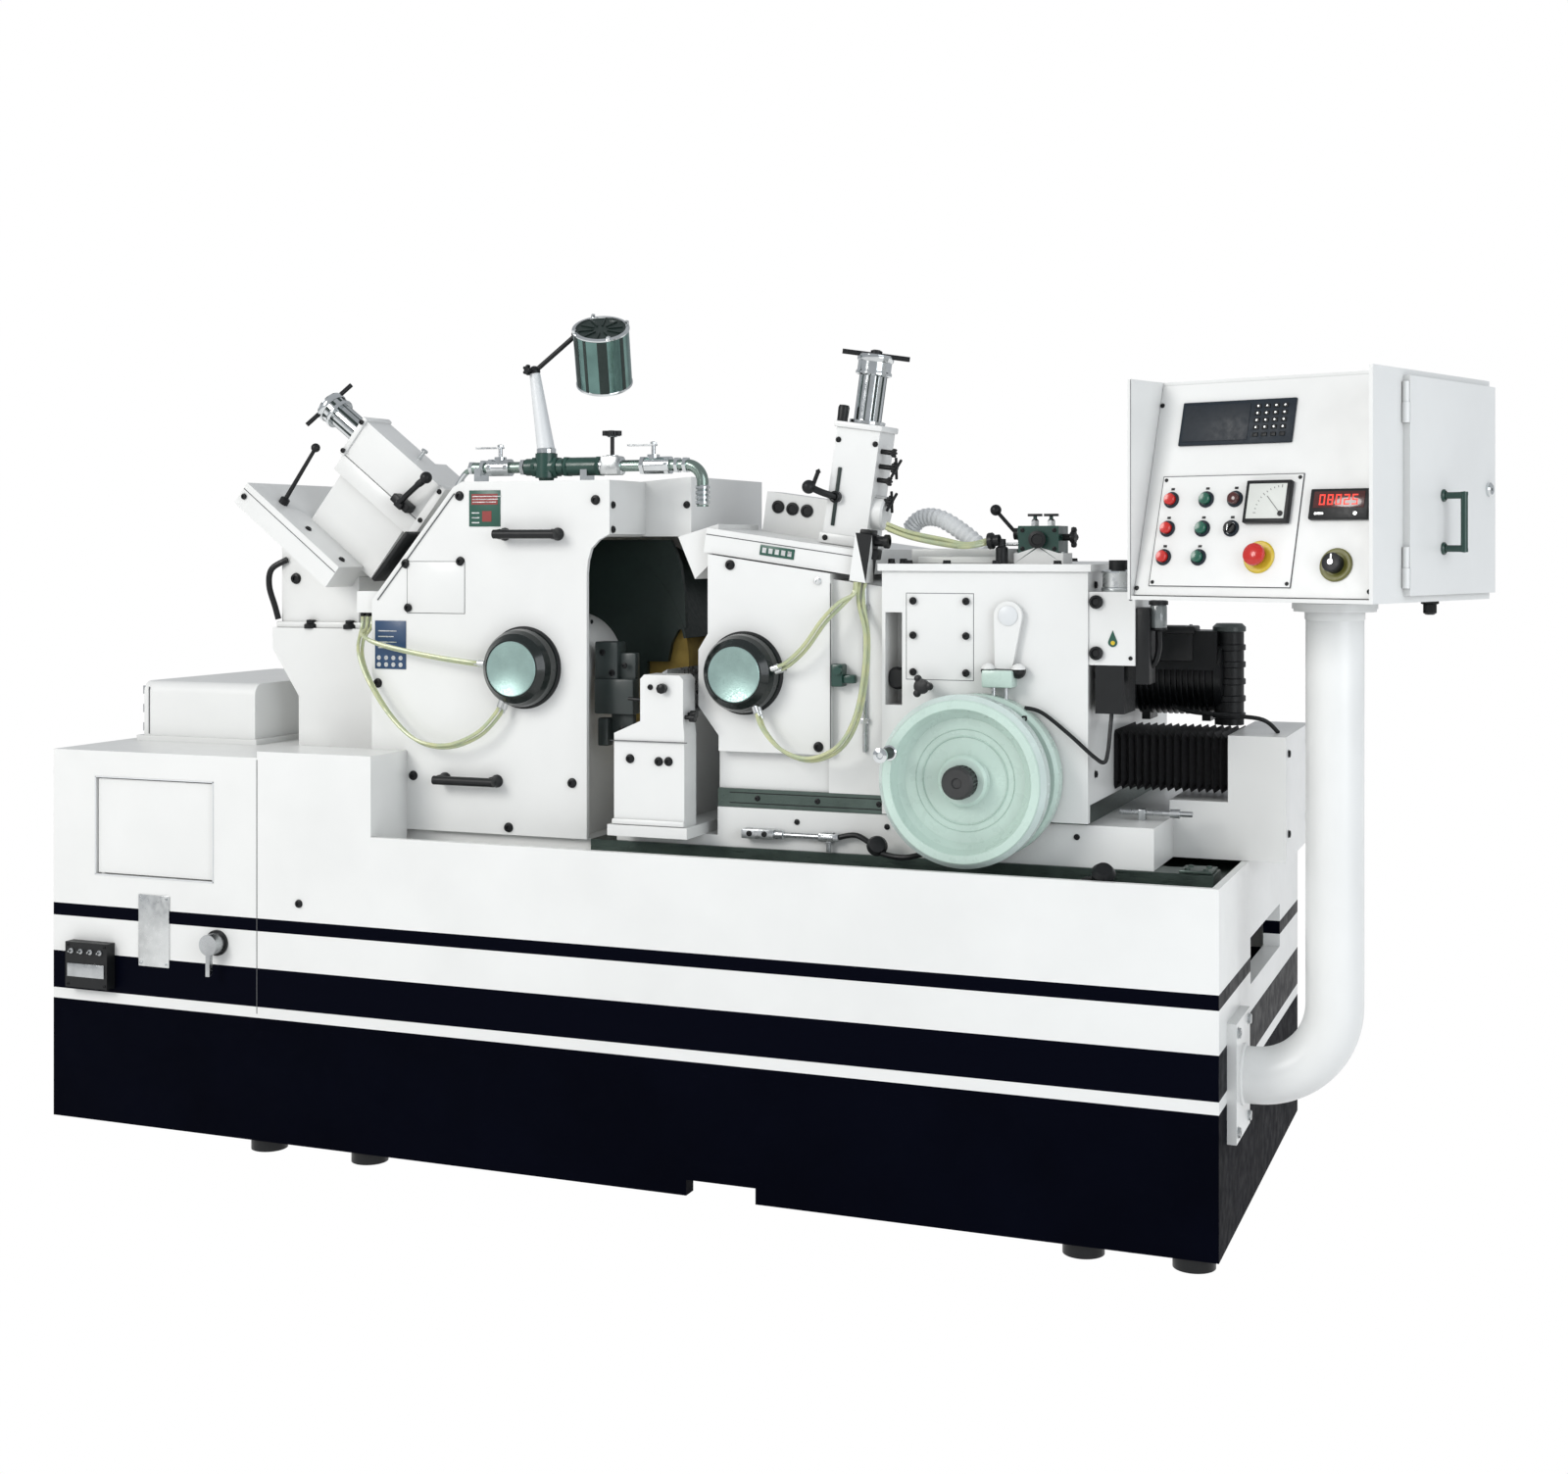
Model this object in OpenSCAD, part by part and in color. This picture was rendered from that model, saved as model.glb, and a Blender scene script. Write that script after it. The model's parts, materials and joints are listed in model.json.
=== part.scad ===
// Centerless grinder: a grinding wheel and a regulating wheel with a work throat between them,
// a wheel dresser on each side, an infeed slide with its handwheel, a coolant line with a
// machine lamp, and a control pendant on a swivelling arm.
// Millimetres. The origin is on the floor under the middle of the base, X runs to the right,
// Y to the back and Z up.

/* [Base] */
// Length of the base, left to right
base_l = 3000; // [2960:10:3060]
// Depth of the base, front to back
base_d = 1226; // [1200:2:1260]
// Height of the feet
foot_h = 30; // [25:1:40]
// Radius of a foot
foot_r = 45; // [36:1:60]
// Radius of an anchor bolt hole
anchor_r = 13; // [9:0.5:16]
// Anchor bolt holes, in from each end of the base
anchor_in = 200; // [150:10:300]
// Anchor bolt holes, from the middle of the base to front and back
anchor_y = 470; // [400:5:500]
// Top of the black tank that the frame stands on
tank_top = 335; // [300:5:360]
// Height of the trough floor
deck_z = 640; // [620:5:680]
// Top of the trough walls
wall_top = 800; // [780:5:820]
// Thickness of the sheet walls
wall_t = 16; // [10:1:20]
// Thickness of the welded box walls
cast_t = 30; // [20:1:40]
// Length of the left cabinet
cabinet_l = 632; // [600:1:660]
// Top of the left cabinet
cabinet_top = 980; // [960:5:1000]
// Length of the raised shoulder beside the cabinet
shoulder_l = 330; // [300:5:350]
// Top of the raised shoulder
shoulder_top = 996; // [985:1:1010]

/* [Wheels] */
// Height of both wheel axes
axis_z = 1210; // [1200:1:1220]
// Axis of the grinding wheel
grind_x = -206; // [-212:1:-200]
// Radius of the grinding wheel
grind_r = 305; // [295:1:305]
// Axis of the regulating wheel
reg_x = 376; // [372:1:382]
// Radius of the regulating wheel
reg_r = 165; // [150:1:165]
// Width of both wheels
wheel_w = 305; // [280:1:305]
// Front side of both wheels
wheel_y = -150; // [-155:1:-145]
// Radius of the grinding spindle
grind_shaft_r = 50; // [40:1:55]
// Radius of the regulating spindle
reg_shaft_r = 40; // [32:1:45]
// Gap round a spindle in its bearing
run_gap = 0.05; // [0.02:0.01:0.1]
// Gap between sliding and turning faces
slide_gap = 0.4; // [0.3:0.05:0.6]

/* [Guard] */
// Front face of the guard and of the regulating housing
face_y = -450; // [-455:1:-445]
// Back face of the guard
guard_back = 212; // [205:1:214]
// Top of the guard
guard_top = 1665; // [1655:1:1675]
// Thickness of the guard sheet
guard_t = 12; // [8:1:14]
// Right edge of the guard's front cover
guard_right = -36; // [-44:1:-30]
// Left edge of the guard
guard_left = -640; // [-645:1:-635]
// Radius of the grinding spindle's cap
grind_cap_r = 95; // [88:1:100]
// Radius of the regulating spindle's cap
reg_cap_r = 92; // [86:1:98]
// Depth of a spindle cap
cap_depth = 66; // [55:1:75]

/* [Slides] */
// Top of the lower slide
lower_top = 893; // [888:1:896]
// Top of the guideway under the upper slide
way_top = 937; // [932:1:942]
// Left side of the slide box
slide_box_x = 714; // [708:1:720]
// Length of the slide box
slide_box_l = 475; // [465:1:485]
// Depth of the slide box
slide_box_d = 900; // [880:2:910]
// Top of the slide box
slide_box_top = 1466; // [1456:1:1476]
// Radius of the handwheel
handwheel_r = 190; // [180:1:192]
// Axis of the handwheel, X
handwheel_x = 935; // [928:1:942]
// Axis of the handwheel, height
handwheel_z = 992; // [991:1:996]
// Length of the bellows
bellows_l = 264; // [256:1:270]
// Folds of the bellows
bellows_folds = 13; // [10:1:14]

/* [Workrest] */
// Left side of the workrest
rest_x = 60; // [58:1:64]
// Length of the workrest's foot
rest_l = 205; // [195:1:206]
// Top of the work blade
blade_top = 1212; // [1206:1:1214]
// Thickness of the work blade
blade_t = 14; // [10:1:18]

/* [Dressers] */
// Lean of the left dresser's axis below level
left_lean = 38; // [36:1:40]
// Lean of the right dresser's axis from upright
right_lean = 8; // [6:1:10]
// Width of a dresser body
dresser_w = 108; // [100:1:112]
// Radius of a dresser's quill
quill_r = 33; // [28:1:36]

/* [Pendant] */
// Radius of the pendant arm's tube
arm_r = 60; // [50:1:64]
// Upright of the pendant arm, out from the end of the base
arm_reach = 210; // [200:1:220]
// Upright of the pendant arm, Y
arm_y = -420; // [-430:1:-410]
// Top of the pendant arm
arm_top = 1368; // [1360:1:1376]
// Turn of the pendant box at rest, clockwise from above
pendant_yaw = 20; // [16:1:24]
// Width of the pendant box
pendant_w = 552; // [530:2:560]
// Depth of the pendant box
pendant_d = 560; // [540:2:580]
// Neck between the arm and the pendant box
pendant_neck = 25; // [20:1:30]
// Height of the pendant box
pendant_h = 466; // [450:1:480]
// Lean of the pendant's front plate
panel_lean = 15; // [10:1:18]

/* [Lamp] */
// Radius of the lamp head
lamp_r = 68; // [60:1:74]
// Length of the lamp head
lamp_l = 145; // [130:1:160]

/* [Hidden] */
$fn = 64;
hose_fn = 10;
hull_fn = 32;
over = 10;
bolt_r = 6;
base_x = [-base_l / 2, base_l / 2];
base_y = [-base_d / 2, base_d / 2];
anchor_x = base_x[1] - anchor_in;
arm_x = base_x[1] + arm_reach;
pendant_z = arm_top + pendant_neck;
cabinet_x = [base_x[0], base_x[0] + cabinet_l];
shoulder_x = [cabinet_x[1], cabinet_x[1] + shoulder_l];
grind_right = grind_x + grind_r;
wheel_span = [wheel_y, wheel_y + wheel_w];

// A box between two limits on each axis
module span_box(x, y, z)
  translate([x[0], y[0], z[0]]) cube([x[1] - x[0], y[1] - y[0], z[1] - z[0]]);

// Round bars along one axis, from the first to the second limit
module rod_x(r, x, y, z) translate([x[0], y, z]) rotate([0, 90, 0]) cylinder(r = r, h = x[1] - x[0]);
module rod_y(r, x, y, z) translate([x, y[1], z]) rotate([90, 0, 0]) cylinder(r = r, h = y[1] - y[0]);
module rod_z(r, x, y, z) translate([x, y, z[0]]) cylinder(r = r, h = z[1] - z[0]);

// An outline in X and Z, given a thickness in Y
module plate_xz(outline, y)
  translate([0, y[1], 0]) rotate([90, 0, 0]) linear_extrude(y[1] - y[0]) polygon(outline);

// A rectangle with round corners
module round_rect(w, h, r) {
  translate([-w / 2 + r, -h / 2]) square([w - 2 * r, h]);
  translate([-w / 2, -h / 2 + r]) square([w, h - 2 * r]);
  for (i = [-1, 1], k = [-1, 1])
    translate([i * (w / 2 - r), k * (h / 2 - r)]) circle(r = r);
}

// A smooth line through hand-set points, with n steps between neighbours
function bend(p, n) = [
  for (i = [0:len(p) - 2], k = [0:n - 1])
    let (t = k / n, a = p[max(i - 1, 0)], b = p[i], c = p[i + 1], d = p[min(i + 2, len(p) - 1)])
    (2 * b + (c - a) * t + (2 * a - 5 * b + 4 * c - d) * t * t
      + (3 * b - a - 3 * c + d) * t * t * t) / 2,
  p[len(p) - 1]];
function unit(v) = v / norm(v);
function headings(p) =
  [for (i = [0:len(p) - 1]) unit(p[min(i + 1, len(p) - 1)] - p[max(i - 1, 0)])];
function carried(t, i, side) = unit(side - (side * t[i]) * t[i]);
function sides(t, i = 0, last = [0, 1, 0.02], done = []) =
  i == len(t) ? done
  : let (s = carried(t, i, last)) sides(t, i + 1, s, concat(done, [s]));

// A round hose along a line of points
module hose(p, r) {
  t = headings(p);
  s = sides(t);
  rings = len(p);
  points = [for (i = [0:rings - 1], k = [0:hose_fn - 1])
    let (a = 360 * k / hose_fn) p[i] + r * (cos(a) * s[i] + sin(a) * cross(t[i], s[i]))];
  walls = [for (i = [0:rings - 2], k = [0:hose_fn - 1])
    let (n = (k + 1) % hose_fn)
    [i * hose_fn + k, (i + 1) * hose_fn + k, (i + 1) * hose_fn + n, i * hose_fn + n]];
  first = [for (k = [0:hose_fn - 1]) k];
  last = [for (k = [hose_fn - 1:-1:0]) (rings - 1) * hose_fn + k];
  polyhedron(points, concat([first], walls, [last]), convexity = 10);
}

// Base
tank_wall = 40;
bay_count = 3;
bay_l = (base_l - (bay_count + 1) * tank_wall) / bay_count;
anchor_boss_r = 70;
anchor_boss_h = 90;
notch_x = 300;
notch_l = 170;
notch_h = 36;
outlet_y = [-190, 280];
outlet_z = [520, 625];
outlet_depth = 60;
block_x = [cabinet_x[1], -30];
block_y = [-430, 470];
bed_in = 40;
bed_x = [-30, base_x[1] - bed_in];
bed_y = [-440, 420];
foot_in = [632, 926, 295, 60];
foot_x = [base_x[0] + foot_in[0], base_x[0] + foot_in[1], base_x[1] - foot_in[2],
  base_x[1] - foot_in[3]];
foot_y = 560;

module bays(z)
  for (i = [0:bay_count - 1])
    translate([base_x[0] + tank_wall + i * (bay_l + tank_wall), base_y[0] + tank_wall, z[0]])
      cube([bay_l, base_d - 2 * tank_wall, z[1] - z[0]]);

module at_anchors()
  for (i = [-1, 1], k = [-1, 1]) translate([i * anchor_x, k * anchor_y, 0]) children();

module base_tank() {
  color("#0c1018")
  difference() {
    union() {
      difference() {
        span_box(base_x, base_y, [foot_h, tank_top]);
        bays([foot_h - over, tank_top + over]);
      }
      for (i = [0, 1], k = [0, 1]) mirror([i, 0, 0]) mirror([0, k, 0])
        span_box([anchor_x - anchor_boss_r, base_x[1] - over],
          [anchor_y - anchor_boss_r, base_y[1] - over], [foot_h, foot_h + anchor_boss_h]);
    }
    at_anchors() translate([0, 0, -over]) cylinder(r = anchor_r, h = 3 * over + anchor_boss_h + foot_h);
    span_box([notch_x, notch_x + notch_l], [base_y[0] - over, base_y[0] + tank_wall + over],
      [foot_h - over, foot_h + notch_h]);
  }
}

module levelling_feet() {
  color("#101216") {
    for (x = foot_x, k = [-1, 1]) rod_z(foot_r, x, k * foot_y, [0, foot_h]);
    difference() {
      at_anchors() cylinder(r = foot_r + anchor_r, h = foot_h);
      at_anchors() translate([0, 0, -over]) cylinder(r = anchor_r, h = foot_h + 2 * over);
    }
  }
}

module base_frame() {
  floor_z = deck_z - cast_t;
  color("#ecebe6")
  difference() {
    union() {
      difference() {
        span_box(base_x, base_y, [tank_top, wall_top]);
        bays([tank_top - over, floor_z]);
        span_box([cabinet_x[1] + wall_t, base_x[1] - wall_t], [base_y[0] + wall_t, base_y[1] - wall_t],
          [deck_z, wall_top + over]);
        span_box([base_x[0] - over, cabinet_x[1]], [base_y[0] - over, base_y[1] + over],
          [deck_z, wall_top + over]);
      }
      difference() {
        span_box(block_x, block_y, [deck_z - over, wall_top]);
        span_box([block_x[0] + cast_t, block_x[1] - cast_t], [block_y[0] + cast_t, block_y[1] - cast_t],
          [deck_z - 2 * over, wall_top - cast_t]);
      }
      span_box(shoulder_x, [base_y[0], face_y], [wall_top - cast_t, shoulder_top]);
    }
    span_box([base_x[1] - outlet_depth, base_x[1] + over], outlet_y, outlet_z);
    span_box([shoulder_x[0] + wall_t, shoulder_x[1] - wall_t], [base_y[0] + wall_t, face_y + over],
      [wall_top - cast_t - over, shoulder_top - wall_t]);
  }
}

// Left cabinet
door_side = [137, 133];
door_x = [cabinet_x[0] + door_side[0], cabinet_x[1] - door_side[1]];
door_z = [664, 912];
door_t = 14;
door_inset = 6;
door_gap = 3;
pin_r = 5;
pin_in = 14;
door_pin = [door_x[0] + pin_in, base_y[0] + door_inset + door_t / 2];
box_side = [60, 212];
box_x = [cabinet_x[0] + box_side[0], cabinet_x[1] - box_side[1]];
box_y = [-330, 300];
box_top = 1140;
box_round = 30;
box_flange = 14;

module left_cabinet() {
  color("#ecebe6")
  difference() {
    span_box(cabinet_x, base_y, [deck_z, cabinet_top]);
    span_box([cabinet_x[0] + wall_t, cabinet_x[1] - wall_t], [base_y[0] + cast_t, base_y[1] - wall_t],
      [deck_z + wall_t, cabinet_top - wall_t]);
    span_box(door_x, [base_y[0] - over, base_y[0] + cast_t + over], door_z);
    rod_z(pin_r + run_gap, door_pin[0], door_pin[1], [door_z[0] - over, door_z[1] + over]);
  }
}

module cabinet_door() {
  y = [base_y[0] + door_inset, base_y[0] + door_inset + door_t];
  color("#e4e3dd") {
    span_box([door_x[0] + door_gap, door_x[1] - door_gap], y, [door_z[0] + door_gap, door_z[1] - door_gap]);
    rod_z(pin_r, door_pin[0], door_pin[1], [door_z[0] - over + door_gap, door_z[1] + over - door_gap]);
  }
}

// A long box with its two upper edges round, standing on Z = 0
module round_top(l, d, h, r)
  rotate([90, 0, 90]) translate([0, 0, -l / 2]) linear_extrude(l)
    intersection() {
      translate([0, h / 2 - r]) round_rect(d, h + 2 * r, r);
      translate([-d / 2, 0]) square([d, h]);
    }

module cabinet_box() {
  w = box_x[1] - box_x[0];
  d = box_y[1] - box_y[0];
  h = box_top - cabinet_top;
  color("#e4e5e3")
  translate([(box_x[0] + box_x[1]) / 2, (box_y[0] + box_y[1]) / 2, cabinet_top])
    difference() {
      union() {
        round_top(w, d, h, box_round);
        translate([-w / 2 - box_flange, -d / 2 - box_flange, 0])
          cube([w + 2 * box_flange, d + 2 * box_flange, box_flange]);
      }
      translate([0, 0, -over]) round_top(w - 2 * sheet, d - 2 * sheet, h - sheet + over, box_round - sheet);
    }
}

// Switch box and its lever
switch_in = 64;
switch_l = 132;
switch_x = [base_x[0] + switch_in, base_x[0] + switch_in + switch_l];
switch_z = [374, 490];
switch_d = 30;
isolator_in = 514;
isolator = [base_x[0] + isolator_in, 513];
isolator_r = 26;
isolator_d = 34;

module switch_box() {
  color("#15171b") {
    span_box(switch_x, [base_y[0] - switch_d, base_y[0]], switch_z);
    rod_y(isolator_r + bolt_r, isolator[0], [base_y[0] - bolt_r, base_y[0]], isolator[1]);
  }
}

module isolator_lever() {
  y = [base_y[0] - bolt_r - isolator_d, base_y[0] - bolt_r - slide_gap];
  color("#2a2e33") {
    rod_y(isolator_r, isolator[0], y, isolator[1]);
    span_box([isolator[0] - bolt_r, isolator[0] + bolt_r], [y[0], y[0] + bolt_r * 2],
      [isolator[1] - 3 * isolator_r, isolator[1]]);
  }
}

// Wheelhead
casting_t = 45;
column_y = [-300, 430];
column_low = [-963, -560];
column_top = [-1046, -560];
flare_z = [1110, 1235];
column_cap = 1290;
front_bearing = [-425, -175];
rear_bearing = [170, 430];
bearing_w = [-330, -75];
bearing_top = 1320;
web_top = 890;
bearing_low = [-560, -75];

module wheelhead() {
  column = [[cabinet_x[1], wall_top], [column_low[1], wall_top], [column_top[1], column_cap],
    [column_top[0], column_cap], [column_top[0], flare_z[1]], [column_low[0], flare_z[0]],
    [column_low[0], cabinet_top], [cabinet_x[1], cabinet_top]];
  color("#e9eaea")
  difference() {
    union() {
      plate_xz(column, column_y);
      for (y = [front_bearing, rear_bearing]) {
        span_box(bearing_w, y, [wall_top, axis_z]);
        rod_y((bearing_w[1] - bearing_w[0]) / 2, (bearing_w[0] + bearing_w[1]) / 2, y, axis_z);
        span_box(bearing_low, y, [wall_top, web_top]);
      }
      span_box(bearing_low, [front_bearing[0], rear_bearing[1]], [wall_top, web_top]);
    }
    span_box([cabinet_x[1] + casting_t, column_low[1] - casting_t],
      [column_y[0] + casting_t, column_y[1] - casting_t], [wall_top - over, column_cap - casting_t]);
    rod_y(grind_shaft_r + run_gap, grind_x, [front_bearing[0] - over, rear_bearing[1] + over], axis_z);
  }
}

// Guard round the grinding wheel
hood_x = 150;
hood_front = -250;
hood_bottom = 1530;
guard_nose = 25;
guard_outline = [[guard_left, wall_top], [guard_left, 1370], [-405, 1652], [-380, guard_top],
  [guard_nose, guard_top], [guard_nose, 1535], [-4, 1520], [-24, 1500], [-33, 1470],
  [guard_right, 1440], [guard_right, wall_top]];
guard_hollow = [[guard_left + guard_t, wall_top - over], [guard_left + guard_t, 1366],
  [-400, 1640], [-376, guard_top - guard_t], [guard_nose - guard_t, guard_top - guard_t],
  [guard_nose - guard_t, wall_top - over]];
hood_outline = [[0, hood_bottom], [0, guard_top], [hood_x, guard_top + guard_t],
  [hood_x, hood_bottom]];
slot_w = 90;
slot_y = [-290, 195];
slot_z = [-280, -205];
hose_block_w = 52;
hose_block_y = [-438, -400];
hose_block_z = [1338, 1392];
handle_l = 168;
handle_r = 11;
handle_off = 38;
handle_marks = [[-186, 1535], [-354, 930]];

module guard_shell() {
  color("#e6e8e8") {
    difference() {
      plate_xz(guard_outline, [face_y + guard_t, guard_back]);
      plate_xz(guard_hollow, [face_y + guard_t - over, guard_back - guard_t]);
      span_box([guard_right - 3 * over, grind_right], [hood_front, guard_back - guard_t],
        [wall_top - over, hood_bottom]);
      span_box([bearing_w[0] - over, bearing_w[1] + over], [guard_back - guard_t - over, guard_back + over],
        [wall_top - over, bearing_top + over * 3]);
      span_box([guard_left - over, bearing_low[1] + over], [column_y[0] - over, guard_back + over],
        [wall_top - over, web_top + over]);
      span_box([guard_left - over, column_low[1] + over], [column_y[0] - over, guard_back + over],
        [wall_top - over, column_cap + over]);
      span_box([bearing_low[0], bearing_w[1] + over], [face_y, column_y[0]],
        [wall_top - over, web_top + over]);
      left_frame() span_box([-slot_w / 2, slot_w / 2], slot_y, slot_z);
    }
    span_box([guard_left - hose_block_w, guard_left + guard_t], hose_block_y, hose_block_z);
    difference() {
      plate_xz(hood_outline, [hood_front, guard_back]);
      span_box([-over, hood_x - guard_t], [hood_front + guard_t, guard_back - guard_t],
        [hood_bottom - over, guard_top - guard_t]);
    }
  }
}

module guard_cover()
  color("#f1f1ee") plate_xz(guard_outline, [face_y, face_y + guard_t]);

// A bow handle on a face that looks to the front
module bow_handle(l, r, off) {
  translate([-l / 2, -off, 0]) rotate([0, 90, 0]) cylinder(r = r, h = l);
  for (i = [-1, 1])
    translate([i * (l / 2 - r), 0, 0]) rotate([90, 0, 0]) cylinder(r = r, h = off);
}

module guard_handles()
  color("#111214")
    for (m = handle_marks)
      translate([m[0], face_y, m[1]]) bow_handle(handle_l, handle_r, handle_off);

// Grinding wheel and its spindle
pulley_r = 110;
pulley_y = [450, 560];
groove_r = 8;
grooves = 4;

module pulley_grooves(x, r)
  for (i = [0:grooves - 1])
    translate([x, pulley_y[0] + (i + 0.5) * (pulley_y[1] - pulley_y[0]) / grooves, axis_z])
      rotate([90, 0, 0]) rotate_extrude() translate([r, 0]) circle(r = groove_r);

module grinding_wheel()
  color("#6f5a34")
  difference() {
    rod_y(grind_r, grind_x, wheel_span, axis_z);
    rod_y(grind_shaft_r, grind_x, [wheel_span[0] - over, wheel_span[1] + over], axis_z);
  }

module grinding_spindle()
  color("#a4a8ab")
  difference() {
    union() {
      rod_y(grind_shaft_r, grind_x, [front_bearing[0], pulley_y[1]], axis_z);
      rod_y(pulley_r, grind_x, pulley_y, axis_z);
    }
    pulley_grooves(grind_x, pulley_r + groove_r / 2);
  }

// Spindle cap: a dark domed ring round a pale disc
disc_share = 0.66;
module cap_at(x, r, y)
  translate([x, y, axis_z]) rotate([90, 0, 0]) {
    color("#10201d") difference() {
      rotate_extrude() polygon([[0, 0], [r, 0], [r, cap_depth * 0.3], [r * 0.97, cap_depth * 0.55],
        [r * 0.89, cap_depth * 0.78], [r * 0.74, cap_depth], [0, cap_depth]]);
      translate([0, 0, cap_depth - bolt_r]) cylinder(r = r * disc_share, h = over);
    }
    color("#9fc4bf") translate([0, 0, cap_depth - bolt_r]) cylinder(r = r * disc_share, h = bolt_r);
  }

module grinding_cap() cap_at(grind_x, grind_cap_r, face_y);

// Hoses: each runs between two pieces of the machine
hose_r = 4.5;
hose_steps = 5;
pair_gap = [4, 12, -7];
block_gap = [8, 8, 0];
reg_gap_a = [-6, 10, 0.9];
reg_gap_b = [12, 2, -1.7];
grind_hose_a = [[-302.5, -483, 1217.5], [-345, -490, 1222], [-430, -488, 1232], [-520, -486, 1246],
  [-596, -488, 1262], [-646, -476, 1280], [-661, -432, 1300], [-661, -424, 1336.8]];
grind_hose_b = [[-247.5, -483, 1120.5], [-262, -490, 1092], [-310, -495, 1046], [-390, -500, 1016],
  [-480, -495, 1026], [-560, -488, 1084], [-628, -480, 1170], [-668, -460, 1240],
  [-680, -424, 1300], [-680, -420, 1337]];
reg_hose_a = [[469.5, -483, 1223], [500, -492, 1236], [545, -497, 1275], [590, -497, 1335],
  [624, -478, 1374], [647.6, -453, 1398], [651.4, -452, 1424.6]];
reg_hose_b = [[422, -483, 1126.5], [440, -492, 1085], [490, -500, 1038], [560, -505, 1020],
  [628, -505, 1048], [668, -502, 1110], [688, -498, 1200], [688, -480, 1300],
  [661, -443, 1378], [663.3, -438, 1423.2]];

// Two hoses side by side; their last two points keep the second gap
module hose_pair(p, end_gap)
  for (i = [-0.5, 0.5])
    hose(bend([for (k = [0:len(p) - 1]) p[k] + i * (k < len(p) - 2 ? pair_gap : end_gap)], hose_steps),
      hose_r);

module grinding_hoses()
  color("#d9dca6") {
    hose_pair(grind_hose_a, block_gap);
    hose_pair(grind_hose_b, block_gap);
  }

// Cover over the belt drive, behind the wheelhead
belt_x = [-760, 60];
belt_y = [430, 604];
belt_z = [812, 1390];

module belt_guard()
  color("#e4e6e6")
  difference() {
    span_box(belt_x, belt_y, belt_z);
    span_box([belt_x[0] + guard_t, belt_x[1] - guard_t], [belt_y[0] - over, belt_y[1] - guard_t],
      [belt_z[0] + guard_t, belt_z[1] - guard_t]);
  }

// Coolant line on top of the guard, with two ball valves and a knob valve
line_y = -400;
line_z = 1700;
pipe_r = 14;
fitting_r = 21;
line_x = [-375, 205];
drop_bottom = 1600;
feed_route = [[-431, -400, 1637], [-418, -400, 1664], [-398, -400, 1688], [-374, -400, 1700]];
fittings = [[-330, -270], [-225, -120], [-95, -15], [100, 165]];
tee_x = -172;
tee_r = 27;
left_valve_x = -300;
right_valve_x = 118;
knob_x = 8;
stem_r = 5;
stem_h = 26;
lever_l = 74;
lever_w = 14;
lever_t = 4;
star_r = 24;
star_t = 12;
clip_w = 18;
clip_x = -60;

module coolant_line() {
  color("#7d8f88") {
    difference() {
      union() {
        rod_x(pipe_r, line_x, line_y, line_z);
        translate([line_x[1], line_y, line_z - 2 * fitting_r]) rotate([90, 0, 0])
          rotate_extrude(angle = 90) translate([2 * fitting_r, 0]) circle(r = pipe_r);
        rod_z(pipe_r, line_x[1] + 2 * fitting_r, line_y, [drop_bottom, line_z - 2 * fitting_r]);
        for (f = fittings) rod_x(fitting_r, f, line_y, line_z);
        rod_z(tee_r, tee_x, line_y, [line_z - tee_r, line_z + tee_r + bolt_r]);
        for (x = [left_valve_x, knob_x, right_valve_x])
          rod_z(2 * stem_r + stem_r, x, line_y, [line_z, line_z + fitting_r + stem_r]);
        for (x = [line_x[0] + fitting_r, clip_x])
          span_box([x - clip_w / 2, x + clip_w / 2], [line_y - fitting_r, line_y + fitting_r],
            [guard_top, line_z]);
      }
      for (x = [left_valve_x, knob_x, right_valve_x])
        rod_z(stem_r + run_gap, x, line_y, [line_z, line_z + 2 * fitting_r]);
      rod_z(stem_r + run_gap, tee_x, line_y, [line_z, line_z + 2 * tee_r]);
    }
    hose(bend(feed_route, hose_steps), pipe_r / 2);
  }
}

module valve_lever(x) {
  color("#24282b") {
    rod_z(stem_r, x, line_y, [line_z + bolt_r, line_z + fitting_r + stem_h]);
    translate([x + lever_w / 2 - lever_l, line_y - lever_w / 2, line_z + fitting_r + stem_h])
      cube([lever_l, lever_w, lever_t]);
  }
}
module valve_lever_left() valve_lever(left_valve_x);
module valve_lever_right() valve_lever(right_valve_x);

// A star knob: a disc with lobes, on a stem along Z
module star_knob(r, t, lobes) {
  cylinder(r = r * 0.72, h = t);
  for (i = [0:lobes - 1])
    rotate([0, 0, i * 360 / lobes]) translate([r * 0.72, 0, 0]) cylinder(r = r * 0.3, h = t);
}

module valve_knob()
  color("#141618") {
    rod_z(stem_r, knob_x, line_y, [line_z + bolt_r, line_z + fitting_r + 2 * stem_h]);
    translate([knob_x, line_y, line_z + fitting_r + 2 * stem_h]) star_knob(star_r, star_t, 5);
  }

// Machine lamp: a tapered arm that turns on the tee, and a head that tilts on the arm's end
lamp_foot_z = 1734;
lamp_elbow = [-205, -400, 1935];
lamp_joint = [-100, -380, 2024];
lamp_centre = [-28, -380, 1968];
lamp_tilt = 12;
lamp_pitch = 30;
lamp_pin_r = 6;
lamp_shell = 3;
lamp_neck = 30;
lamp_foot_r = 22;
lamp_elbow_r = 13;

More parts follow.
